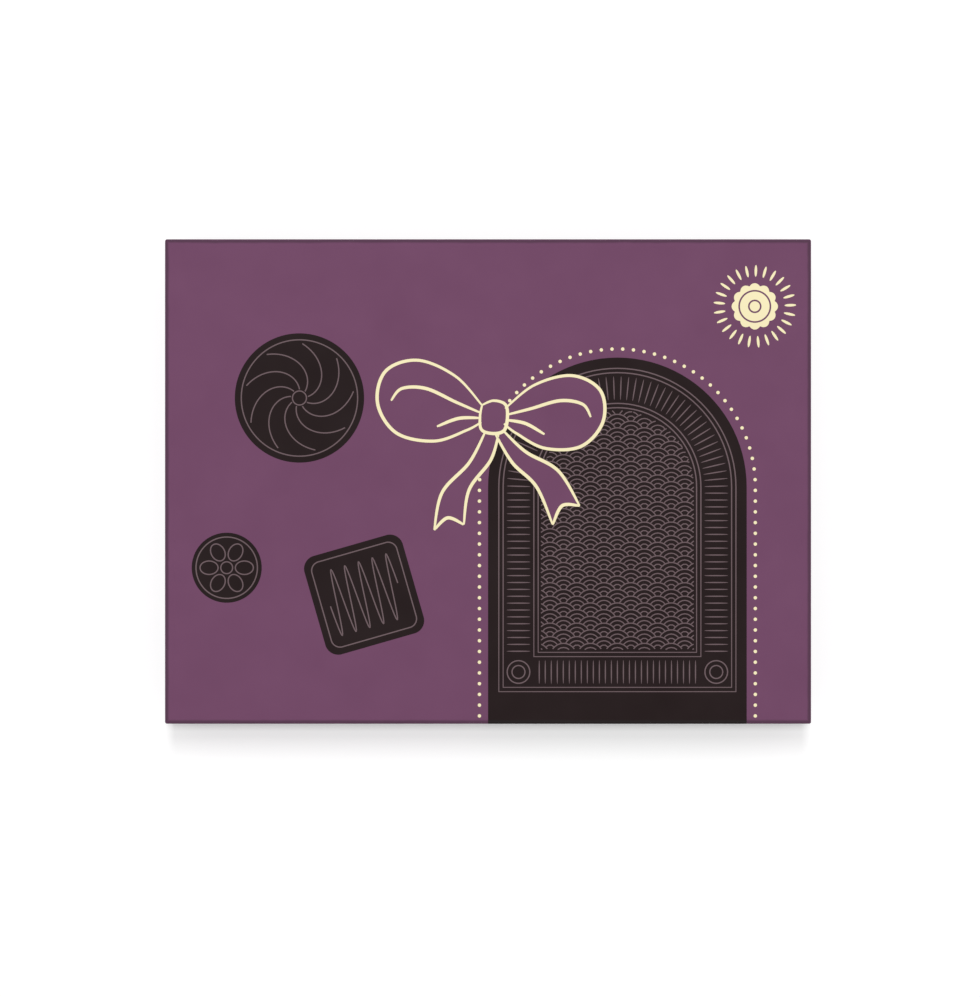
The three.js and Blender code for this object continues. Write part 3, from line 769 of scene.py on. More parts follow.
# %% The mark tree
mark_tree, given, result = shape_tree(
    "marks_on_path", [("Count", "Int"), ("Along", "Float"), ("Across", "Float"), ("Ink", "Material")]
)
even = geo(mark_tree, "ResampleCurve", mode="LENGTH", Curve=given["Geometry"], Length=0.4 * MM)["Curve"]
stops = geo(mark_tree, "CurveToPoints", mode="COUNT", Curve=even, Count=given["Count"])
disc = geo(mark_tree, "MeshCylinder", Vertices=12, Radius=0.5, Depth=1.0)["Mesh"]
aim = mark_tree.nodes.new("FunctionNodeAlignRotationToVector")
aim.axis, aim.pivot_axis = "X", "Z"
feed(mark_tree, aim.inputs["Vector"], stops["Tangent"])
size = add(mark_tree, "CombineXYZ", X=given["Along"], Y=given["Across"], Z=INK * MM).outputs[0]
row = geo(mark_tree, "InstanceOnPoints", Points=stops["Points"], Instance=disc, Scale=size,
          Rotation=aim.outputs["Rotation"])["Instances"]
end_tree(mark_tree, row, given["Ink"], result)


def marks_on_lid(name, line, count, along, across, ink, height, closed=False):
    path = paths(name, [at_height(np.asarray(line), lid_top + height)], closed=closed)
    made = grown(name, path, mark_tree, Count=count, Along=along * MM, Across=across * MM, Ink=ink)
    print(name, "has", count, "marks")
    return dress(made, [], "lid")


# %% Rays and beads
ON_PAPER = 0.01  # height of the middle of a mark on the plum paper
RAY = 9.0
RAY_FOOT = front + 27.0
FOOT_RUN = 29.0  # half the row of rays along the arch's foot
BEAD = 1.3
BEAD_ROW = 3.2  # from the arch's outline to its beads
RAYS, FOOT_RAYS, BEADS = 94, 27, 84
foot_run = [(ARCH[0] - FOOT_RUN, FOOT_RAIL), (ARCH[0] + FOOT_RUN, FOOT_RAIL)]
bead_run = arch(-BEAD_ROW, front + 3, 97)
marks_on_lid("print_rays", arch(RAIL, RAY_FOOT), RAYS, FINE, RAY, line_ink, OVER)
marks_on_lid("print_foot_rays", foot_run, FOOT_RAYS, FINE, RAY, line_ink, OVER)
marks_on_lid("print_beads", bead_run, BEADS, BEAD, BEAD, cream_ink, ON_PAPER)


# %% Rosette
def lobed(radius, lobes, groove, count):
    """A round outline with grooves between its lobes."""
    angles = once_round(count)
    return from_centre(angles, radius - groove * (1 - np.abs(np.cos(angles * lobes / 2)) ** 0.75))


rosette_rays = ring_of(ROSETTE, 13.2, 96)
rosette = lobed(radius=8.6, lobes=12, groove=1.1, count=168) + ROSETTE
rosette_rings = [ring_of(ROSETTE, radius) for radius in (5.8, 2.2)]
marks_on_lid("print_rosette_rays", rosette_rays, 25, 1.0, 4.4, cream_ink, ON_PAPER, True)
piece("print_rosette", inlay([rosette], lid_top + INK), [cream_ink], "lid")
lines_on_lid("print_rosette_rings", rosette_rings, 0.6, plum_paper, OVER, closed=True)

# %% [markdown]
# ## The bow
# A bow in outline crosses from the plum ground on to the arch. Each stroke is a smooth curve through a
# few points, a little wider in the middle than at its ends, like a line from a brush. Bezier handles
# would do the same by hand, but points are easier to read and to mirror. The ground inside the loops is
# printed plum again.


# %% Strokes of the bow
def smooth_path(points, steps=18):
    """A smooth curve through the points, with the first and the last one doubled."""
    p = np.array([points[0], *points, points[-1]], float)
    t = np.linspace(0, 1, steps, endpoint=False)[:, None]
    parts = []
    for a, b, c, d in zip(p, p[1:], p[2:], p[3:]):
        parts.append(b + 0.5 * t * (c - a + t * (2 * a - 5 * b + 4 * c - d + t * (3 * (b - c) + d - a))))
    return np.vstack((*parts, p[-1:])) + BOW


left_loop = [
    [(-4, 4), (-14, 15), (-28, 21), (-40, 17), (-43, 5), (-36, -6), (-22, -9), (-10, -5), (-4.5, -2)],
    [(-5, 1.6), (-14, 5.5), (-25, 10.5), (-34, 10.5), (-38, 6)],
    [(-5.2, -0.4), (-13, -0.6), (-21, -3.6)],
]
right_loop = [turned(np.array(stroke) * (-0.94, 0.94), -0.16).tolist() for stroke in left_loop]
left_tail = [
    [(-3, -5.5), (-9, -17), (-19, -28), (-22, -42)],
    [(-22, -42), (-17, -37.5), (-11, -40)],
    [(2, -6), (-1, -16), (-9, -27), (-11, -40)],
]
right_tail = [
    [(3.5, -5), (12, -13), (24, -20), (32, -33)],
    [(32, -33), (25.5, -33), (22, -40)],
    [(0.5, -6), (7, -17), (16, -26), (22, -40)],
]
knot = [(-4.2, 4.4), (0, 6), (4.4, 4.6), (5.2, 0), (4, -5), (0, -6.2), (-4.4, -4.8), (-5, 0), (-4.2, 4.4)]
strokes = [smooth_path(stroke) for stroke in (*left_loop, *right_loop, *left_tail, *right_tail, knot)]
print("bow:", len(strokes), "strokes")

# %% Ground and lines of the bow
GROUND = INK + 0.018  # height of the bow's ground
GROUND_STEP = 0.004  # between one part of the ground and the next, so that no two share a level
BOW_LINE = 1.25  # width of a stroke at its widest
grounds = [smooth_path(outline) for outline in (left_loop[0], right_loop[0], knot[:-1])]
for outer, end, inner in (left_tail, right_tail):
    grounds.append(np.vstack((smooth_path(outer), smooth_path(end)[1:-1], smooth_path(inner)[::-1])))
for number, outline in enumerate(grounds, start=1):
    ground = inlay([outline], lid_top + GROUND + GROUND_STEP * number)
    piece(f"print_bow_ground_{number}", ground, [plum_paper], "lid")
widths = [0.45 + 0.55 * np.sin(np.linspace(0, np.pi, len(stroke))) ** 0.6 for stroke in strokes]
lines_on_lid("print_bow", strokes, BOW_LINE, cream_ink, GROUND + 0.022, widths)

# %% [markdown]
# ## The formed tray
# A sheet of gold plastic is heated and sucked down over a mould, so it has one thickness, soft edges and
# a draft on every wall. Cutting pockets out of a block with booleans would lose the even thickness.
# Instead each pocket is a stack of outlines from its lip to its floor, so first come the pockets' sizes
# and the section that all of them share.

# %% Pockets and their section
SHEET = 0.45
LIP = 0.8  # radius of the soft edge between the land and a wall
COLLAR = 0.35  # width of the flat ring round a pocket's lip
FILLET = 1.0
DRAFT = 0.07  # how far a wall leans out for each millimetre of height
ROOM = 0.6  # between a sweet's foot and the pocket's fillet
plan_of = {  # half length, half width and corner radius of each kind
    "swirl_dome": (14.5, 14.5, 14.5),
    "drizzle_square": (14.0, 14.0, 4.0),
    "cocoa_truffle": (14.25, 14.25, 14.25),
    "heart": (14.75, 14.25, 9.5),
    "fluted_cup": (14.5, 14.5, 14.5),
    "striped_oval": (12.0, 16.5, 12.0),
    "almond_bar": (12.25, 16.5, 3.0),
    "cut_gem": (14.75, 14.75, 14.75),
}
sweets, height_of = {}, {}
for name in nodes:
    kind = name.rsplit("_", 1)[0]
    if kind in plan_of:
        low, high = box_mm(name)
        sweets[name] = (kind, np.array([*(low + high)[:2] / 2, low[2]]))
        height_of[kind] = round(high[2] - low[2], 3)
tray_low, tray_high = box_mm("insert_tray")
land, floor = tray_high[2], tray_low[2] + SHEET
quarter = np.linspace(0, np.pi / 2, 7)


def soft_lip(more):
    return [(more + LIP * (1 - math.sin(a)), land - LIP * (1 - math.cos(a))) for a in quarter]


wall_foot = ROOM + FILLET
wall_top = wall_foot + DRAFT * (land - floor - FILLET)
pocket_path = [(wall_top + LIP + COLLAR, land), *soft_lip(wall_top)]
pocket_path += [(wall_foot + DRAFT * h, floor + FILLET + h) for h in (5.0, 1.6, 0.0)]
pocket_path += [(ROOM + FILLET * math.cos(a), floor + FILLET * (1 - math.sin(a))) for a in quarter[1:]]
pocket_path += [(0.0, floor)]
print("pockets:", len(sweets), "each", round(land - floor, 2), "mm deep")

# %% [markdown]
# ## One sheet with its pockets
# The flat land between the pockets is one face with a hole for each of them, split into triangles. A
# narrow flat collar round every hole keeps the soft lips from bending the light on the land. A skirt
# closes the outside, and a wall modifier gives the whole sheet its gauge at the end.

# %% Land, pockets and skirt
TRAY_CORNER, LEAST_CORNER = 4.0, 1.5
LEAN = 0.95  # how far the skirt leans in from its foot up to its lip
SKIRT_FOOT = tray_low[2]
tray_half = (tray_high - tray_low)[:2] / 2
skirt_path = [(2.3, land), *soft_lip(LEAN), (0.5, SKIRT_FOOT + 4.0), (0.0, SKIRT_FOOT)]
tray_points, tray_faces, land_index, land_borders = [], [], [], []


def sink(rings, with_floor):
    """Adds a stack of rings to the sheet and notes its first ring as a border of the land."""
    shape, sides = stack(rings)
    start = len(tray_points)
    tray_points.extend(shape.tolist())
    used = sides[:-2] + sides[-1:] if with_floor else sides[:-2]
    tray_faces.extend([[i + start for i in face] for face in used])
    land_index.extend(range(start, start + len(rings[0])))
    land_borders.append([Vector((x, y, 0)) for x, y, z in rings[0]])


skirt = []
for inset, z in skirt_path:
    corner = max(TRAY_CORNER - inset, LEAST_CORNER)
    skirt.append(at_height(rounded(*(tray_half - inset), corner, 10), z))
sink(skirt, False)
for kind, place in sweets.values():
    size = np.array(plan_of[kind])
    sink([at_height(rounded(*(size + more), 14) + place[:2], z) for more, z in pocket_path], True)
tray_faces += [[land_index[i] for i in triangle] for triangle in tessellate_polygon(land_borders)]
tray_sheet = mesh_of("formed_tray", tray_points, tray_faces)
formed_tray = thicken(bpy.data.objects.new("formed_tray", tray_sheet), SHEET)
print("tray:", len(formed_tray.data.polygons), "faces")

# %% [markdown]
# ## Gold plastic
# The sheet is metallised before it is formed. Stretching leaves faint draw marks and a gloss that changes
# from place to place. A plain metal would look like brass, so slow noise moves the roughness and the
# colour and bends the reflections a little, and fine grit breaks them up.

# %% Tray finish
gold_film, tree, shader, place = new_finish("gold_film", Metallic=0.9, Coat_Weight=0.25, Coat_Roughness=0.2)
drawn = add(tree, "TexNoise", Vector=place, Scale=45.0, Detail=2.0).outputs["Fac"]
grit = add(tree, "TexNoise", Vector=place, Scale=1600.0, Detail=2.0).outputs["Fac"]
feed(tree, shader.inputs["Roughness"], spread(tree, drawn, 0.3, 0.7, 0.3, 0.38))
gold = blend_colours(tree, spread(tree, drawn, 0.3, 0.7), linear(200, 156, 88), linear(216, 174, 104))
feed(tree, shader.inputs["Base Color"], gold)
emboss(tree, shader, sums(tree, "MULTIPLY_ADD", grit, 0.12, drawn), 0.12, 0.35)
dress(formed_tray, [gold_film], "tray", ["insert_tray"], 35)
print("tray finish:", gold_film.name)

# %% [markdown]
# ## Chocolate
# Moulded chocolate takes a soft gloss from its mould. It shows slow drifts of tone, a few pin holes and a
# trace of pale bloom. A plain brown with a highlight looks like plastic. One group gives the three
# effects, and milk, dark and white chocolate use it with their own colours.

# %% The cast surface group
cast, given, result = shader_group(
    "cast_surface", [("Place", "Vector"), ("Bloom Amount", "Float")],
    [("Tone", "Float"), ("Bloom", "Float"), ("Relief", "Float")],
)
drift = add(cast, "TexNoise", Vector=given["Place"], Scale=140.0, Detail=4.0, Roughness=0.55).outputs["Fac"]
veil = add(cast, "TexNoise", Vector=given["Place"], Scale=420.0, Detail=5.0, Roughness=0.65).outputs["Fac"]
pins = add(cast, "TexVoronoi", Vector=given["Place"], Scale=520.0).outputs["Distance"]
pits = sums(cast, "MULTIPLY", spread(cast, pins, 0.0, 0.16), 0.06)
feed(cast, result["Tone"], drift)
feed(cast, result["Bloom"], sums(cast, "MULTIPLY", spread(cast, veil, 0.52, 0.75), given["Bloom Amount"]))
feed(cast, result["Relief"], sums(cast, "MULTIPLY_ADD", drift, 0.7, pits))
print(cast.name, "has", len(cast.nodes), "nodes")


# %% Chocolate finishes
def chocolate(name, deep, pale, roughness, bloom):
    shine = {"Specular_IOR_Level": 0.4, "Coat_Weight": 0.08, "Coat_Roughness": 0.25}
    made, tree, shader, place = new_finish(name, **shine)
    skin = use_group(tree, cast, Place=place, Bloom_Amount=bloom)
    body = blend_colours(tree, spread(tree, skin["Tone"], 0.3, 0.7), deep, pale)
    dusty = shade_of(pale, 0.6, 0.12)
    feed(tree, shader.inputs["Base Color"], blend_colours(tree, skin["Bloom"], body, dusty))
    gloss = spread(tree, skin["Tone"], 0.3, 0.7, roughness, roughness + 0.1)
    feed(tree, shader.inputs["Roughness"], sums(tree, "MULTIPLY_ADD", skin["Bloom"], 0.35, gloss))
    emboss(tree, shader, skin["Relief"], 0.18, 0.35)
    return made


milk = chocolate("milk_chocolate", linear(94, 52, 29), linear(118, 70, 41), 0.36, 0.22)
dark = chocolate("dark_chocolate", linear(50, 25, 14), linear(70, 38, 22), 0.32, 0.2)
white = chocolate("white_chocolate", linear(233, 212, 168), linear(244, 228, 190), 0.4, 0.2)
print("chocolate:", milk.name, dark.name, white.name)

# %% [markdown]
# ## Cocoa powder
# A truffle is rolled in cocoa, which is matt, dry and lumpy. Noise at two millimetres makes the clumps
# and cells at a third of a millimetre the grains, and a little sheen stands for the dust on the rim. Hair
# particles would be a heavier way to get the same look.

# %% Cocoa finish
cocoa, tree, shader, place = new_finish(
    "cocoa_powder", Specular_IOR_Level=0.12,
    Sheen_Weight=0.12, Sheen_Roughness=0.6, Sheen_Tint=linear(200, 150, 110),
)
clumps = add(tree, "TexNoise", Vector=place, Scale=500.0, Detail=6.0, Roughness=0.7).outputs["Fac"]
specks = add(tree, "TexVoronoi", Vector=place, Scale=2600.0).outputs["Distance"]
powder = blend_colours(tree, spread(tree, clumps, 0.35, 0.65), linear(84, 48, 26), linear(134, 84, 50))
feed(tree, shader.inputs["Base Color"], powder)
feed(tree, shader.inputs["Roughness"], spread(tree, clumps, 0.3, 0.7, 0.96, 0.84))
emboss(tree, shader, sums(tree, "MULTIPLY_ADD", specks, 0.5, clumps), 0.35, 0.9)
print("cocoa:", cocoa.name)

# %% [markdown]
# ## Nut skins
# A roasted hazelnut is blotched and faintly streaked from end to end, and an almond's skin has long
# ridges. Both come from noise that is stretched along the nut, with rounder noise for the blotches. One
# function makes both skins.


# %% Nut finishes
def nut_skin(name, deep, pale, stretch, depth):
    made, tree, shader, place = new_finish(name, Specular_IOR_Level=0.35)
    along = add(tree, "Mapping", Vector=place, Scale=stretch).outputs[0]
    streaks = add(tree, "TexNoise", Vector=along, Scale=900.0, Detail=4.0, Roughness=0.6).outputs["Fac"]
    patches = add(tree, "TexNoise", Vector=place, Scale=260.0, Detail=3.0).outputs["Fac"]
    tone = sums(tree, "MULTIPLY_ADD", streaks, 0.65, sums(tree, "MULTIPLY", patches, 0.35))
    feed(tree, shader.inputs["Base Color"], blend_colours(tree, spread(tree, tone, 0.36, 0.64), deep, pale))
    feed(tree, shader.inputs["Roughness"], spread(tree, tone, 0.3, 0.7, 0.68, 0.5))
    emboss(tree, shader, streaks, depth, 0.8)
    return made


hazel_skin = nut_skin("roasted_hazelnut", linear(150, 92, 44), linear(206, 156, 92), (1.0, 1.0, 0.18), 0.2)
almond_skin = nut_skin("almond_skin", linear(112, 62, 32), linear(176, 112, 62), (1.0, 0.1, 1.0), 0.35)
print("nuts:", hazel_skin.name, almond_skin.name)

# %% [markdown]
# ## Squares, hearts and bars
# A mould gives a sweet a rounded foot, a drafted side, a soft upper edge and a slightly crowned top.
# Whatever its outline is, these four steps are the same, so one rule makes the square, the heart and the
# bar from their outlines. A subdivided block would need its creases set by hand. The bar's top is combed
# into ripples, as with a fork.


# %% Moulded forms
def moulded(outline, height, edge, crown=0.4, foot=0.6, draft=0.3, layers=16):
    """Rings of a foot, a drafted side with a soft edge, and a crowned top of so many layers."""
    half = np.abs(outline).max(axis=0)
    rings = []
    for a in np.linspace(0, np.pi / 2, 5):
        rings.append(at_height(outline * (1 - foot * (1 - np.sin(a)) / half), foot * (1 - np.cos(a))))
    for a in np.linspace(0, np.pi / 2, 12):
        inset = edge * (draft + 1.4 * (1 - np.cos(a)))
        rings.append(at_height(outline * (1 - inset / half), height - crown - edge * (1 - np.sin(a))))
    last = rings[-1][:, :2]
    for t in np.linspace(0, 1, layers)[1:]:
        rings.append(at_height(last * (1 - 0.985 * t), height - crown * (1 - np.sin(t * np.pi / 2))))
    return rings


def heart_outline(width, length, steps=24):
    """One side is two Bezier curves from the point to the cleft, and the other side mirrors it."""
    arms = [((0, -1), (0.45, -0.72), (1, -0.3), (1, 0.28)), ((1, 0.28), (1, 0.8), (0.3, 1), (0, 0.62))]
    t = np.linspace(0, 1, steps, endpoint=False)[:, None]
    parts = []
    for a, b, c, d in np.array(arms):
        parts.append(a * (1 - t) ** 3 + 3 * b * t * (1 - t) ** 2 + 3 * c * t ** 2 * (1 - t) + d * t ** 3)
    half = np.vstack((*parts, [(0, 0.62)]))
    outline = np.vstack((half, half[-2:0:-1] * (-1, 1)))
    low, high = outline.min(axis=0), outline.max(axis=0)
    return (outline - (low + high) / 2) * (width, length) / (high - low)


def combed(rings, top_layers):
    """Ripples in the top, which grow from its border inwards."""
    for layer, ring in enumerate(rings[-top_layers:]):
        x, y = ring[:, 0], ring[:, 1]
        ripple = np.sin((y + 0.3 * x + 0.05 * x ** 2) * 2 * np.pi / COMB_STEP)
        ring[:, 2] += COMB_DEPTH / 2 * (ripple - 1) * min(1, layer / 5)
    return rings


PILLOW_EDGE, BAR_EDGE = 3.6, 2.2  # height over which the upper edge is softened
COMB_STEP, COMB_DEPTH = 5.2, 0.44
BAR_LAYERS = 26
square_plan = rounded(*plan_of["drizzle_square"], 16)
square_shape = stack(moulded(square_plan, height_of["drizzle_square"], PILLOW_EDGE))
heart_plan = heart_outline(2 * plan_of["heart"][0], 2 * plan_of["heart"][1])
heart_shape = stack(moulded(heart_plan, height_of["heart"], PILLOW_EDGE, crown=0.6))
bar_plan = rounded(*plan_of["almond_bar"], 16)
plain_bar = moulded(bar_plan, height_of["almond_bar"], BAR_EDGE, crown=0.5, layers=BAR_LAYERS)
bar_shape = stack(combed(plain_bar, BAR_LAYERS))
print("faces:", len(square_shape[1]), len(heart_shape[1]), len(bar_shape[1]))

# %% [markdown]
# ## Ovals and truffles
# The oval is a plain dome. The truffle is a ball with a flat foot, rolled by hand, so noise pushes its
# surface in and out by half a millimetre. A sphere would do as a start, but the stack puts its rings
# where the foot needs them.


# %% Domes
def dome(outline, height, start=0.0, layers=40):
    """Rings from an angle at or below the widest one up to the top."""
    end = 1.545  # short of a right angle, so that a small flat closes the top
    half = np.abs(outline).max(axis=0)
    rings = []
    for a in np.linspace(start, end, layers):
        z = height * (np.sin(a) - np.sin(start)) / (np.sin(end) - np.sin(start))
        rings.append(at_height(outline * (1 - min(half) * (1 - np.cos(a)) / half), z))
    return rings


FLAT_FOOT = 0.4  # height up to which a truffle isn't lumpy
BALL, BALL_MIDDLE = 14, (0, 0, 7)  # about a truffle's radius and middle
oval_shape = stack(dome(rounded(*plan_of["striped_oval"], 20), height_of["striped_oval"]))
truffle_plan = ring_of((0, 0), plan_of["cocoa_truffle"][0], 72)
truffle_shape = stack(dome(truffle_plan, height_of["cocoa_truffle"], start=-0.62, layers=44))
for point in truffle_shape[0]:
    lumps = noise.noise(Vector(point) * 0.16) * 0.5 + noise.noise(Vector(point) * 0.5) * 0.22
    if point[2] > FLAT_FOOT:
        point += (point - BALL_MIDDLE) / BALL * lumps
print("faces:", len(oval_shape[1]), len(truffle_shape[1]))

# %% [markdown]
# ## The fluted cup
# The cup's side is fluted like a paper case, and its rim turns in to a round pool of dark filling. A
# boolean would cut the pool but leave a sharp rim, so the rings change little by little from the fluted
# outline to a round one.

# %% Cup
CUP = plan_of["fluted_cup"][0]
CUP_TOP = height_of["fluted_cup"]
POOL = 12.4  # radius of the filling
POOL_LEVEL = 10.6  # height of the filling at its border
POOL_CROWN = 0.35
fluted = lobed(CUP, lobes=12, groove=1.2, count=168)
pool = ring_of((0, 0), POOL, 168)
cup_side = [(2.8, 0.0), (2.4, 0.2), (2.2, 0.7), (1.5, 4.0), (0.7, 8.0), (0.1, 10.4), (0.1, 10.9)]
cup_side += [(0.5, CUP_TOP - 0.1), (0.9, CUP_TOP)]
cup_rings = [at_height(fluted * (1 - inset / CUP), z) for inset, z in cup_side]
rim = cup_rings[-1][:, :2]
for share, z in ((0.35, CUP_TOP - 0.05), (0.75, CUP_TOP - 0.4), (1.0, POOL_LEVEL)):
    cup_rings.append(at_height(rim + share * (pool - rim), z))
for t in np.linspace(0, 1, 10)[1:]:
    cup_rings.append(at_height(pool * (1 - 0.97 * t), POOL_LEVEL + POOL_CROWN * np.sin(t * np.pi / 2)))
cup_shape = stack(cup_rings)
print("cup:", len(cup_shape[1]), "faces")

# %% [markdown]
# ## The cut gem
# The gem has flat facets like a cut stone. Its corners lie on four rings of eight, and the upper rings
# are each turned by half a facet more, which makes the triangles between them. The mould's edges are not
# sharp, so a bevel rounds every one of them.

# %% Gem
SIDES = 8
FACET = 2 * np.pi / SIDES
GEM = plan_of["cut_gem"][0]
GEM_TOP = height_of["cut_gem"]
gem_rings = []
for inset, z, turn in ((1.77, 0, 0), (0, 6, 0), (3.84, 11.25, -FACET / 2), (7.38, GEM_TOP, -FACET)):
    gem_rings.append(at_height(from_centre(once_round(SIDES) + turn, GEM - inset), z))
i = np.arange(SIDES)
j = (i + 1) % SIDES
gem_faces = np.column_stack((i, j, j + SIDES, i + SIDES)).tolist()
gem_faces += [i[::-1].tolist(), (i + 3 * SIDES).tolist()]
for low in (SIDES, 2 * SIDES):
    high = low + SIDES
    gem_faces += np.column_stack((low + i, low + j, high + j)).tolist()
    gem_faces += np.column_stack((low + i, high + j, high + i)).tolist()
work = bmesh.new()
corners = [work.verts.new(corner) for corner in np.vstack(gem_rings)]
for face in gem_faces:
    work.faces.new([corners[k] for k in face])
bmesh.ops.recalc_face_normals(work, faces=work.faces)
bmesh.ops.bevel(
    work, geom=work.edges[:], offset=0.35, segments=3, profile=0.6, affect="EDGES", clamp_overlap=True
)
work.verts.index_update()
gem_shape = (np.array([v.co[:] for v in work.verts]), [[v.index for v in f.verts] for f in work.faces])
work.free()
print("gem:", len(gem_shape[1]), "faces")

# %% [markdown]
# ## Filling the pockets
# Each kind stands in three pockets, exactly where the frame has its solid. The filling in the cup is the
# same mesh with a second finish on its inner faces, because it is poured in and sticks to the wall.

# %% Sweets in their pockets
forms = {
    "drizzle_square": (square_shape, dark, "dark_chocolate"),
    "cocoa_truffle": (truffle_shape, cocoa, "cocoa_powder"),
    "heart": (heart_shape, white, "white_chocolate"),
    "fluted_cup": (cup_shape, milk, "milk_chocolate"),
    "striped_oval": (oval_shape, dark, "dark_chocolate"),
    "almond_bar": (bar_shape, milk, "milk_chocolate"),
    "cut_gem": (gem_shape, dark, "dark_chocolate"),
}
for name, (kind, place) in sweets.items():
    if kind not in forms:
        continue
    (points, faces), finish, slot = forms[kind]
    made = piece("cast_" + name, (points + place, faces), [finish], "tray", [name], 50)
    if kind == "fluted_cup":
        made.data.materials.append(dark)
        for face in made.data.polygons:
            x, y, z = np.array(face.center) / MM - place
            if math.hypot(x, y) < POOL + 0.2 and z > POOL_LEVEL - 0.3:
                face.material_index = 1
print("moulded sweets:", sum(kind in forms for kind, place in sweets.values()))

# %% [markdown]
# ## Swirled domes
# The last kind is a dome with eight grooves that turn as they rise. That is a rule, so a tree makes the
# whole sweet: a flat grid is rolled up, and its columns become angles and its rows become heights. Lobes,
# groove and turn are inputs, so another swirl needs no new mesh. Points that fall together at the seam,
# the foot and the top are merged.

# %% The swirl tree
swirl_tree, given, result = shape_tree(
    "swirled_dome",
    [("Radius", "Float"), ("Height", "Float"), ("Lobes", "Int"), ("Groove", "Float"), ("Turn", "Float"),
     ("Place", "Vector"), ("Chocolate", "Material")],
)
ROWS = 50
FIRST_RING = 1 / (ROWS - 1) - 0.5  # the row before it is the middle of the foot
grid = geo(swirl_tree, "MeshGrid", Size_X=1.0, Size_Y=1.0, Vertices_X=161, Vertices_Y=ROWS)["Mesh"]
axes = add(swirl_tree, "SeparateXYZ", Vector=geo(swirl_tree, "InputPosition")["Position"]).outputs
angle = sums(swirl_tree, "MULTIPLY", sums(swirl_tree, "ADD", axes["X"], 0.5), 2 * math.pi)
rise = spread(swirl_tree, axes["Y"], FIRST_RING, 0.5)
on_foot = spread(swirl_tree, axes["Y"], -0.5, FIRST_RING)
half_lobes = sums(swirl_tree, "DIVIDE", given["Lobes"], 2.0)
wave = sums(swirl_tree, "COSINE", sums(swirl_tree, "MULTIPLY", angle, half_lobes))
lobe = sums(swirl_tree, "ABSOLUTE", wave)
valley = sums(swirl_tree, "SUBTRACT", 1.0, sums(swirl_tree, "POWER", lobe, 0.75))
grooved = sums(swirl_tree, "SUBTRACT", given["Radius"], sums(swirl_tree, "MULTIPLY", given["Groove"], valley))
slope = sums(swirl_tree, "MULTIPLY", rise, math.pi / 2)
narrowing = sums(swirl_tree, "MULTIPLY", on_foot, sums(swirl_tree, "COSINE", slope))
reach = sums(swirl_tree, "MULTIPLY", grooved, narrowing)
twist = sums(swirl_tree, "MULTIPLY_ADD", given["Turn"], rise, angle)
rolled_up = add(
    swirl_tree, "CombineXYZ", X=sums(swirl_tree, "MULTIPLY", reach, sums(swirl_tree, "COSINE", twist)),
    Y=sums(swirl_tree, "MULTIPLY", reach, sums(swirl_tree, "SINE", twist)),
    Z=sums(swirl_tree, "MULTIPLY", given["Height"], sums(swirl_tree, "SINE", slope)),
).outputs[0]
shape = geo(swirl_tree, "SetPosition", Geometry=grid, Position=rolled_up)["Geometry"]
shape = geo(swirl_tree, "MergeByDistance", Geometry=shape, Distance=0.01 * MM)["Geometry"]
shape = geo(swirl_tree, "Transform", Geometry=shape, Translation=given["Place"])["Geometry"]
end_tree(swirl_tree, shape, given["Chocolate"], result)

# %% Swirls in their pockets
for name, (kind, place) in sweets.items():
    if kind == "swirl_dome":
        made = grown(
            "cast_" + name, bpy.data.meshes.new("start"), swirl_tree, Radius=plan_of[kind][0] * MM,
            Height=height_of[kind] * MM, Lobes=8, Groove=1.5 * MM, Turn=1.5, Place=(place * MM).tolist(),
            Chocolate=milk,
        )
        dress(made, [], "tray", [name], 50)
        print(made.name, len(made.data.polygons), "faces")

# %% [markdown]
# ## Nuts on the sweets
# A hazelnut is a round body with a blunt point and a faint bulge in three directions. More than a third of
# it is pressed into the filling. An almond lies flat with its narrow end to the back and has ridges along
# it. Both are stacks of rings again, and the streaks on their skin come from the finish.


# %% Hazelnuts and almonds
HAZEL_RADIUS, HAZEL_HEIGHT = 6.25, 11.3
ALMOND_HALF_WIDTH, ALMOND_HALF_LENGTH = 6.25, 11.0
RIDGE = 0.1  # half the depth of an almond's ridges
SUNK = 0.7  # how deep an almond is pressed into its bar


def hazelnut_shape(turn):
    angles = once_round(48)
    bulge = 1 + 0.025 * np.cos(3 * angles + turn)
    rings = []
    for rise in np.linspace(0.015, 0.99, 34):
        girth = math.sqrt(max(0, 1 - (2 * rise ** 0.9 - 1) ** 2)) ** 0.94 * (1 - 0.2 * rise ** 5)
        rings.append(at_height(from_centre(angles, HAZEL_RADIUS * girth * bulge), HAZEL_HEIGHT * rise))
    return stack(rings)


def almond_shape(height):
    x, y = ring_of((0, 0), 1, 56).T
    outline = np.column_stack((x * ALMOND_HALF_WIDTH * (1 - 0.27 * y), y * ALMOND_HALF_LENGTH))
    points, faces = stack(dome(outline, height, start=-0.25, layers=26))
    ridges = np.cos(points[:, 0] * 4.2 / (1 - 0.25 * points[:, 1] / ALMOND_HALF_LENGTH)) - 1
    points[:, 2] += np.where(points[:, 2] > 1.0, RIDGE * ridges, 0)
    return points, faces


for number in (1, 2, 3):
    name = f"hazelnut_{number}"
    low, high = box_mm(name)
    points, faces = hazelnut_shape(number)
    points = points + (*(low + high)[:2] / 2, high[2] - points[:, 2].max())
    piece("whole_" + name, (points, faces), [hazel_skin], "tray", [name], 60)

    name = f"almond_{number}"
    low, high = box_mm(name)
    points, faces = almond_shape(high[2] - low[2] + SUNK)
    points = points + (*(low + high)[:2] / 2, low[2] - SUNK)
    piece("skinned_" + name, (points, faces), [almond_skin], "tray", [name], 60)
print("nuts: 3 hazelnuts and 3 almonds")

# %% [markdown]
# ## Icing
# Thin threads of chocolate lie over the squares and the ovals. Each path is drawn from above and dropped
# on the sweet below it with a ray, because a thread that is modelled flat would float or cut in. A tree
# sweeps a round section along the path, thinner at both ends, where the nozzle starts and stops.

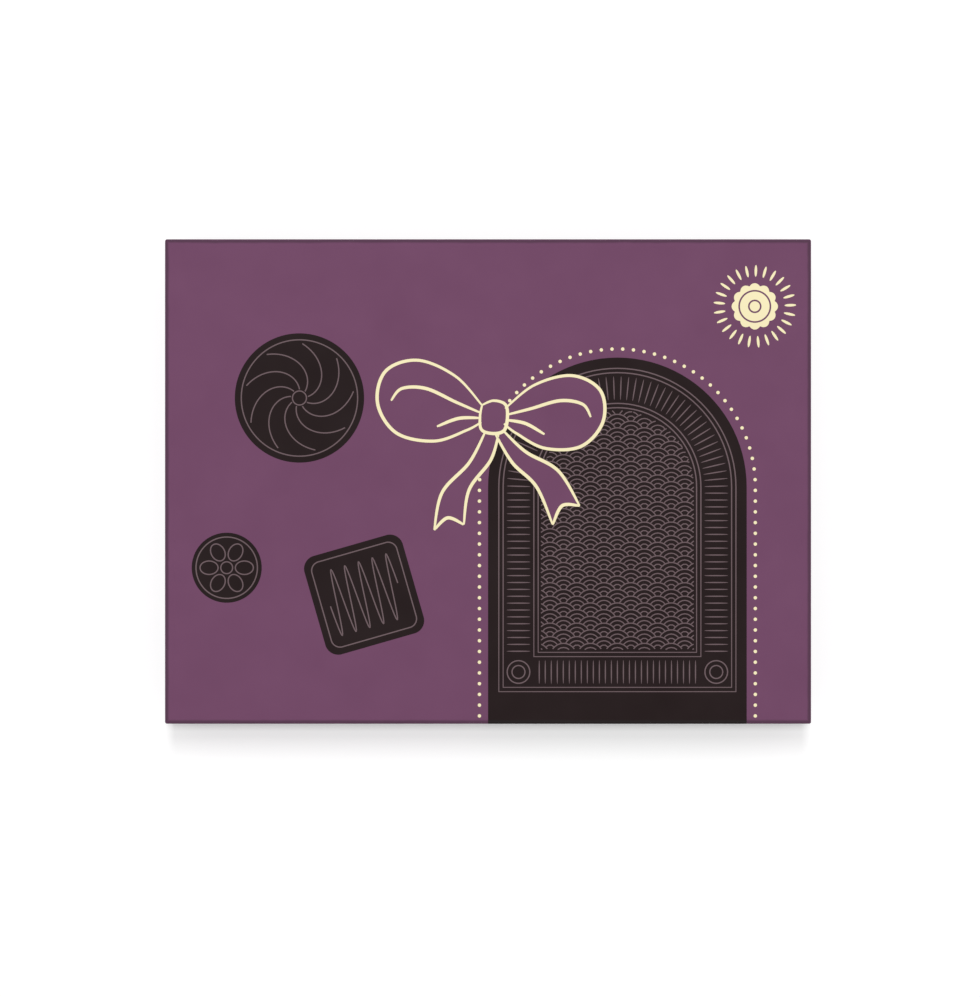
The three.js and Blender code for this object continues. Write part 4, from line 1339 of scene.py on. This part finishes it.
# %% The thread tree
thread_tree, given, result = shape_tree("icing_thread", [("Radius", "Float"), ("Icing", "Material")])
section = geo(thread_tree, "CurvePrimitiveCircle", Resolution=10, Radius=given["Radius"])["Curve"]
share = geo(thread_tree, "InputRadius")["Radius"]
swept = geo(thread_tree, "CurveToMesh", Curve=given["Geometry"], Profile_Curve=section, Scale=share,
            Fill_Caps=True)["Mesh"]
end_tree(thread_tree, swept, given["Icing"], result)

DROP = 60  # height from which the paths are dropped
SETTLE = 0.35  # how far a thread's middle lies above the sweet, as a share of its radius
TAPER = 5  # points over which a thread grows to its full width


def icing(name, lines, sweet, radius, finish):
    """Threads where the lines land on the sweet, and none where they miss it."""
    kind, place = sweets[sweet]
    points, faces = forms[kind][0]
    ground = BVHTree.FromPolygons((points + place).tolist(), faces)
    landed, widths = [], []
    for line in lines:
        hits = [ground.ray_cast(Vector((x, y, DROP)), Vector((0, 0, -1)))[0] for x, y in line]
        landed.append([(hit.x, hit.y, hit.z + SETTLE * radius) for hit in hits if hit])
        steps = np.arange(len(landed[-1]))
        widths.append(np.clip(np.minimum(steps, steps[::-1]) / TAPER, 0.3, 1))
    made = grown(name, paths(name, landed, widths), thread_tree, Radius=radius * MM, Icing=finish)
    return dress(made, [], "tray", crease=60)


# %% Threads on squares and ovals
DRIZZLE, STRIPE = 0.7, 0.55  # radius of a thread
DRIZZLE_HALF, DRIZZLE_SWING, DRIZZLE_WAVE = 12.6, 12.2, 6.6
STRIPE_STEP, STRIPE_SLOPE = 3.5, 0.35
for number in (1, 2, 3):
    sweet = f"drizzle_square_{number}"
    x = np.linspace(-DRIZZLE_HALF, DRIZZLE_HALF, 240)
    wave = np.arcsin(0.97 * np.sin(x * 2 * np.pi / DRIZZLE_WAVE + number)) / (np.pi / 2)
    drizzle = np.column_stack((x, DRIZZLE_SWING * wave))
    drizzle = turned(drizzle, 0.25 * number - 0.5, sweets[sweet][1][:2])
    icing(f"icing_drizzle_{number}", [drizzle], sweet, DRIZZLE, white)

    sweet = f"striped_oval_{number}"
    x = np.linspace(-12, 12, 60)
    stripe = np.column_stack((x, STRIPE_SLOPE * x + 0.5 * np.sin(x * 0.5)))
    stripes = [stripe + (0, STRIPE_STEP * k) + sweets[sweet][1][:2] for k in range(-3, 4)]
    thread, slot = (milk, "milk_chocolate") if number == 2 else (white, "white_chocolate")
    made = icing(f"icing_stripes_{number}", stripes, sweet, STRIPE, thread)
    print(made.name, len(made.data.polygons), "faces")

# %% [markdown]
# ## Loose cocoa
# Coarse grains of cocoa sit on the truffles and catch the light. Bump alone leaves the outline smooth, so
# a tree scatters small stones over the surface with a fixed seed, each with its own size and turn.

# %% The grain tree
grain_tree, given, result = shape_tree(
    "cocoa_grains", [("Density", "Float"), ("Size", "Float"), ("Seed", "Int"), ("Dust", "Material")]
)
scatter = geo(grain_tree, "DistributePointsOnFaces", Mesh=given["Geometry"], Density=given["Density"],
              Seed=given["Seed"])
stone = geo(grain_tree, "MeshIcoSphere", Radius=given["Size"], Subdivisions=1)["Mesh"]
size = grain_tree.nodes.new("FunctionNodeRandomValue")
size.data_type = "FLOAT"
size.inputs[2].default_value, size.inputs[3].default_value = 0.35, 1.0
feed(grain_tree, size.inputs["Seed"], given["Seed"])
laid = geo(grain_tree, "InstanceOnPoints", Points=scatter["Points"], Instance=stone, Scale=size.outputs[1],
           Rotation=scatter["Rotation"])["Instances"]
end_tree(grain_tree, laid, given["Dust"], result)

# %% Grains on the truffles
GRAIN = 0.32
GRAINS = 700000.0  # on a square metre
for number in (1, 2, 3):
    name = f"cocoa_grains_{number}"
    ground = bpy.data.objects[f"cast_cocoa_truffle_{number}"].data.copy()
    made = grown(name, ground, grain_tree, Density=GRAINS, Size=GRAIN * MM, Seed=number, Dust=cocoa)
    dress(made, [], "tray", crease=60)
    print(made.name, len(made.data.polygons) // 20, "grains")

# %% [markdown]
# ## The quilted pad
# A pad of glassine paper lies on the sweets. Its layers are pressed together along a grid and puff up
# between the lines. Paper that is held along its seams puckers where it is too long for its cell, and
# that is hard to model by hand. Cloth simulation gives just that, so the start is two nearly flat sheets,
# joined round their border, with a note of the points on the pressed lines.

# %% Two sheets with their pressed lines
CELLS = (12, 9)
STEPS = 14  # across a cell
MARGIN = 3  # steps of flat border
SEAM = 0.35  # half the thickness of a pressed line
START = 0.6  # how far each sheet is puffed up before the simulation
pad_low, pad_high = box_mm("cushion_pad")
pad_half = (pad_high - pad_low)[:2] / 2
grid_x, grid_y = (np.linspace(-1, 1, cells * STEPS + 1) * half for cells, half in zip(CELLS, pad_half))
wide, deep = len(grid_x), len(grid_y)


def pressed_steps(count):
    """Which steps across the pad lie on a pressed line or in the flat border."""
    steps = np.arange(count)
    return (steps % STEPS == 0) | (np.minimum(steps, steps[::-1]) < MARGIN)


def puff_steps(count):
    return np.sin(np.arange(count) % STEPS / STEPS * np.pi)


pressed = pressed_steps(wide)[None, :] | pressed_steps(deep)[:, None]
puff = puff_steps(wide)[None, :] * puff_steps(deep)[:, None]
level = SEAM + START * np.where(pressed, 0, puff)
upper = np.stack((*np.meshgrid(grid_x, grid_y), level), axis=-1).reshape(-1, 3)
sheets = np.vstack((upper, upper * (1, 1, -1)))
pinned = np.tile(pressed.ravel(), 2)
index = np.arange(wide * deep).reshape(deep, wide)
cell = np.stack((index[:-1, :-1], index[:-1, 1:], index[1:, 1:], index[1:, :-1]), axis=-1).reshape(-1, 4)
border = np.concatenate((index[0, :-1], index[:-1, -1], index[-1, :0:-1], index[:0:-1, 0]))
after = np.roll(border, -1)
below = wide * deep
pad_faces = cell.tolist() + (cell[:, ::-1] + below).tolist()
pad_faces += np.column_stack((border, border + below, after + below, after)).tolist()
print("pad sheets:", CELLS, "cells,", len(pad_faces), "faces")

# %% [markdown]
# ## Blowing the pad up
# Both sheets are cloth that wants to be a little larger than its cell, which is the spare paper. Pressure
# fills them, the pressed lines are pinned and gravity is off. The pad is simulated at ten times its size,
# where the solver is steadier, and a little seeded unevenness decides where the puckers fall.


# %% Cloth with pinned seams
def blown_up(points, faces, pinned, pressure=10.0, spare=0.14, frames=10, scale=10.0):
    """The points after the sheets have been filled."""
    mesh = bpy.data.meshes.new("pad_cloth")
    mesh.from_pydata((points * MM * scale).tolist(), [], faces)
    cloth_pad = bpy.data.objects.new("pad_cloth", mesh)
    scene.collection.objects.link(cloth_pad)
    cloth_pad.vertex_groups.new(name="seams").add(np.flatnonzero(pinned).tolist(), 1.0, "ADD")
    cloth = cloth_pad.modifiers.new("cloth", "CLOTH").settings
    cloth.quality = 4
    cloth.mass = 0.05
    cloth.tension_stiffness = cloth.compression_stiffness = 20
    cloth.shear_stiffness = 8
    cloth.bending_stiffness = 0.02
    cloth.use_pressure = True
    cloth.uniform_pressure_force = pressure
    cloth.shrink_min = -spare
    cloth.vertex_group_mass = "seams"
    cloth.effector_weights.gravity = 0
    for step in range(1, frames + 1):
        scene.frame_set(step)
    filled = cloth_pad.evaluated_get(bpy.context.evaluated_depsgraph_get()).data
    result = np.empty(len(filled.vertices) * 3)
    filled.vertices.foreach_get("co", result)
    bpy.data.objects.remove(cloth_pad)
    bpy.data.meshes.remove(mesh)
    scene.frame_set(1)
    return result.reshape(-1, 3) / MM / scale


uneven = np.random.default_rng(7).normal(0, 0.025, sheets.shape) * ~pinned[:, None]
filled = blown_up(sheets + uneven, pad_faces, pinned)
print("pad blown up to", round(np.ptp(filled[:, 2]), 2), "mm")

# %% [markdown]
# ## Pressing and pinking the pad
# In the box the pad is squeezed between the sweets and the lid. A soft limit on its height does that: it
# hardly moves the seams, and it leaves full cells with steep sides. The border is cut with a zigzag
# blade, so every second pair of border points moves in by a tooth.

# %% Height and teeth
TOOTH = 0.9
SQUEEZE = 1.1  # how hard the soft limit bears on the pad
pad_rise = (pad_high[2] - pad_low[2]) / 2
fullest = np.abs(filled[:, 2]).max()
squeezed = np.tanh(SQUEEZE * filled[:, 2] / pad_rise) / np.tanh(SQUEEZE * fullest / pad_rise)
filled[:, 2] = pad_rise * squeezed
filled[:, 2] += (pad_high[2] + pad_low[2]) / 2
teeth_x, teeth_y = (np.where(np.arange(count) % 4 < 2, 0.0, TOOTH) for count in (deep, wide))
for layer in (0, below):
    filled[layer + index[:, 0], 0] += teeth_x
    filled[layer + index[:, -1], 0] -= teeth_x
    filled[layer + index[0], 1] += teeth_y
    filled[layer + index[-1], 1] -= teeth_y
print("pad from", filled[:, 2].min().round(2), "to", filled[:, 2].max().round(2), "mm")

# %% [markdown]
# ## Glassine
# The paper of the pad is glazed, with a fine crimp all over it and a row of pressed dots along each seam.
# The crimp is a close wave that noise bends. The dots come from the distance to the seam lines: the
# piece's own place is folded back and forth once for each cell, so they need no extra mesh.

# %% Pad finish
DOT_STEP = 2.2  # from one pressed dot to the next
SEAM_INNER, SEAM_OUTER = 0.3, 1.1  # from a seam line to where its marks fade
glassine, tree, shader, place = new_finish("glassine", Specular_IOR_Level=0.4, Sheen_Weight=0.1)
stock = use_group(tree, fibres, Place=place, Fibre_Scale=2600.0, Drift_Scale=90.0)
axes = add(tree, "SeparateXYZ", Vector=place).outputs
to_seams = []
for axis, half, cells in zip("XY", pad_half, CELLS):
    to_seams.append(sums(tree, "PINGPONG", sums(tree, "ADD", axes[axis], half * MM), half / cells * MM))
near_seam = spread(tree, sums(tree, "MINIMUM", *to_seams), SEAM_INNER * MM, SEAM_OUTER * MM, 1.0, 0.0)
run = sums(tree, "ADD", axes["X"], axes["Y"])
dots = sums(tree, "SINE", sums(tree, "MULTIPLY", run, 2 * math.pi / (DOT_STEP * MM)))
pressed_dots = sums(tree, "MULTIPLY", near_seam, spread(tree, dots, 0.0, 0.7, 0.0, -1.0))
crimp = add(tree, "TexWave", Vector=place, Scale=210.0, Distortion=1.2, Detail=2.0, Detail_Scale=1.5)
marked = sums(tree, "MULTIPLY_ADD", stock["Relief"], 0.1, pressed_dots)
emboss(tree, shader, sums(tree, "MULTIPLY_ADD", crimp.outputs["Fac"], 0.3, marked), 0.3, 0.7)
tinted = spread(tree, stock["Tint"], 0.3, 0.7)
glazed = blend_colours(tree, tinted, linear(241, 231, 208), linear(250, 243, 226))
tone = blend_colours(tree, sums(tree, "MULTIPLY", near_seam, 0.35), glazed, linear(205, 184, 146))
feed(tree, shader.inputs["Base Color"], tone)
feed(tree, shader.inputs["Roughness"], spread(tree, stock["Tint"], 0.3, 0.7, 0.38, 0.52))
quilted_pad = piece("quilted_pad", (filled, pad_faces), [glassine], "pad", ["cushion_pad"], 75)
print("pad:", len(quilted_pad.data.polygons), "faces")

# %% [markdown]
# ## The table
# In the photograph the ground is white right up to the box. A plain white plane would turn grey there, so
# the table also shines a little by itself, and more so far away, where the lights don't reach. Seen from
# below it is clear, so the underside of the box can be looked at.

# %% Table
REACH = 6.0  # metres from the middle to each side
BELOW = -0.0001  # just under the box, so that the two don't share a level
GLOW, FAR_GLOW = 0.31, 0.75
NEAR, FAR = 0.4, 2.0  # metres over which the glow grows
table_corners = [(x * REACH, y * REACH, BELOW) for x, y in ((-1, -1), (1, -1), (1, 1), (-1, 1))]
table_mesh = bpy.data.meshes.new("table")
table_mesh.from_pydata(table_corners, [], [(0, 1, 2, 3)])
table = bpy.data.objects.new("table", table_mesh)
scene.collection.objects.link(table)
white_table, tree, shader, place = new_finish(
    "white_table", Base_Color=(0.78, 0.78, 0.78, 1), Roughness=0.9, Specular_IOR_Level=0.1,
    Emission_Color=(1, 1, 1, 1),
)
from_box = add(tree, "VectorMath", operation="LENGTH")
feed(tree, from_box.inputs[0], place)
glow = spread(tree, from_box.outputs["Value"], NEAR, FAR, GLOW, FAR_GLOW)
feed(tree, shader.inputs["Emission Strength"], glow)
from_below = add(tree, "MixShader", Fac=add(tree, "NewGeometry").outputs["Backfacing"])
feed(tree, from_below.inputs[1], shader.outputs[0])
feed(tree, from_below.inputs[2], add(tree, "BsdfTransparent").outputs[0])
feed(tree, tree.nodes["Material Output"].inputs["Surface"], from_below.outputs[0])
table_mesh.materials.append(white_table)
print("table:", 2 * REACH, "m wide")

# %% [markdown]
# ## Light
# The one shadow lies along the front edge of the box. It is dark and narrow at the box and fades over
# fifteen millimetres. Two soft lights give it: one almost overhead makes the narrow part, and one further
# behind the box makes the wide part. Both are narrow from side to side, which keeps the ends of the box
# clear of shadow. A dim white room fills in. The camera sees that room in full white, so the table has no
# grey horizon behind it.

# %% Lights
LIGHT_HEIGHT = 2.4
LIGHT_WIDTH = 0.35
ROOM_LIGHT, ROOM_SEEN = 0.40, 1.0
for name, behind, depth, watts in (("key_light", 0.92, 0.77, 19.5), ("top_light", 0.21, 0.3, 19.0)):
    lamp = bpy.data.lights.new(name, "AREA")
    lamp.shape = "RECTANGLE"
    lamp.size, lamp.size_y = LIGHT_WIDTH, depth
    lamp.energy = watts
    light = bpy.data.objects.new(name, lamp)
    light.location = (0, behind, LIGHT_HEIGHT)
    light.rotation_euler = light.location.to_track_quat("Z", "Y").to_euler()
    scene.collection.objects.link(light)
    print(name, watts, "W")
room = bpy.data.worlds.new("room")
room.use_nodes = True
tree = room.node_tree
seen = add(tree, "MixShader", Fac=add(tree, "LightPath").outputs["Is Camera Ray"])
for socket, strength in zip(seen.inputs[1:], (ROOM_LIGHT, ROOM_SEEN)):
    feed(tree, socket, add(tree, "Background", Color=(1, 1, 1, 1), Strength=strength).outputs[0])
feed(tree, tree.nodes["World Output"].inputs["Surface"], seen.outputs[0])
scene.world = room
scene.view_settings.view_transform = "Standard"

# %% [markdown]
# ## Camera
# The photograph looks straight down, and no wall of the box shows. A long lens far away does that. Its
# height follows from the scale: one dot of the photograph is a known length on the lid. The box stands a
# little left of and above the picture's middle, so the camera is a few dots to the right of the box's
# middle and in front of it.

# %% Camera over the lid
PICTURE = 980  # width of the photograph, in its own dots
LID_IN_PICTURE = 646.6  # length of the lid there
ASIDE, AHEAD = 1.95, -17.0  # from the lid's middle to the picture's middle, in dots
LENS, SENSOR = 100.0, 36.0
dot = 2 * lid_half[0] / LID_IN_PICTURE * MM  # one dot of the photograph, on the lid
camera_data = bpy.data.cameras.new("camera")
camera_data.sensor_fit = "HORIZONTAL"
camera_data.sensor_width = SENSOR
camera_data.lens = LENS
camera = bpy.data.objects.new("camera", camera_data)
camera.location = (ASIDE * dot, AHEAD * dot, lid_top * MM + PICTURE * dot * LENS / SENSOR)
scene.collection.objects.link(camera)
scene.camera = camera
print("camera height:", round(camera.location.z, 3), "m")
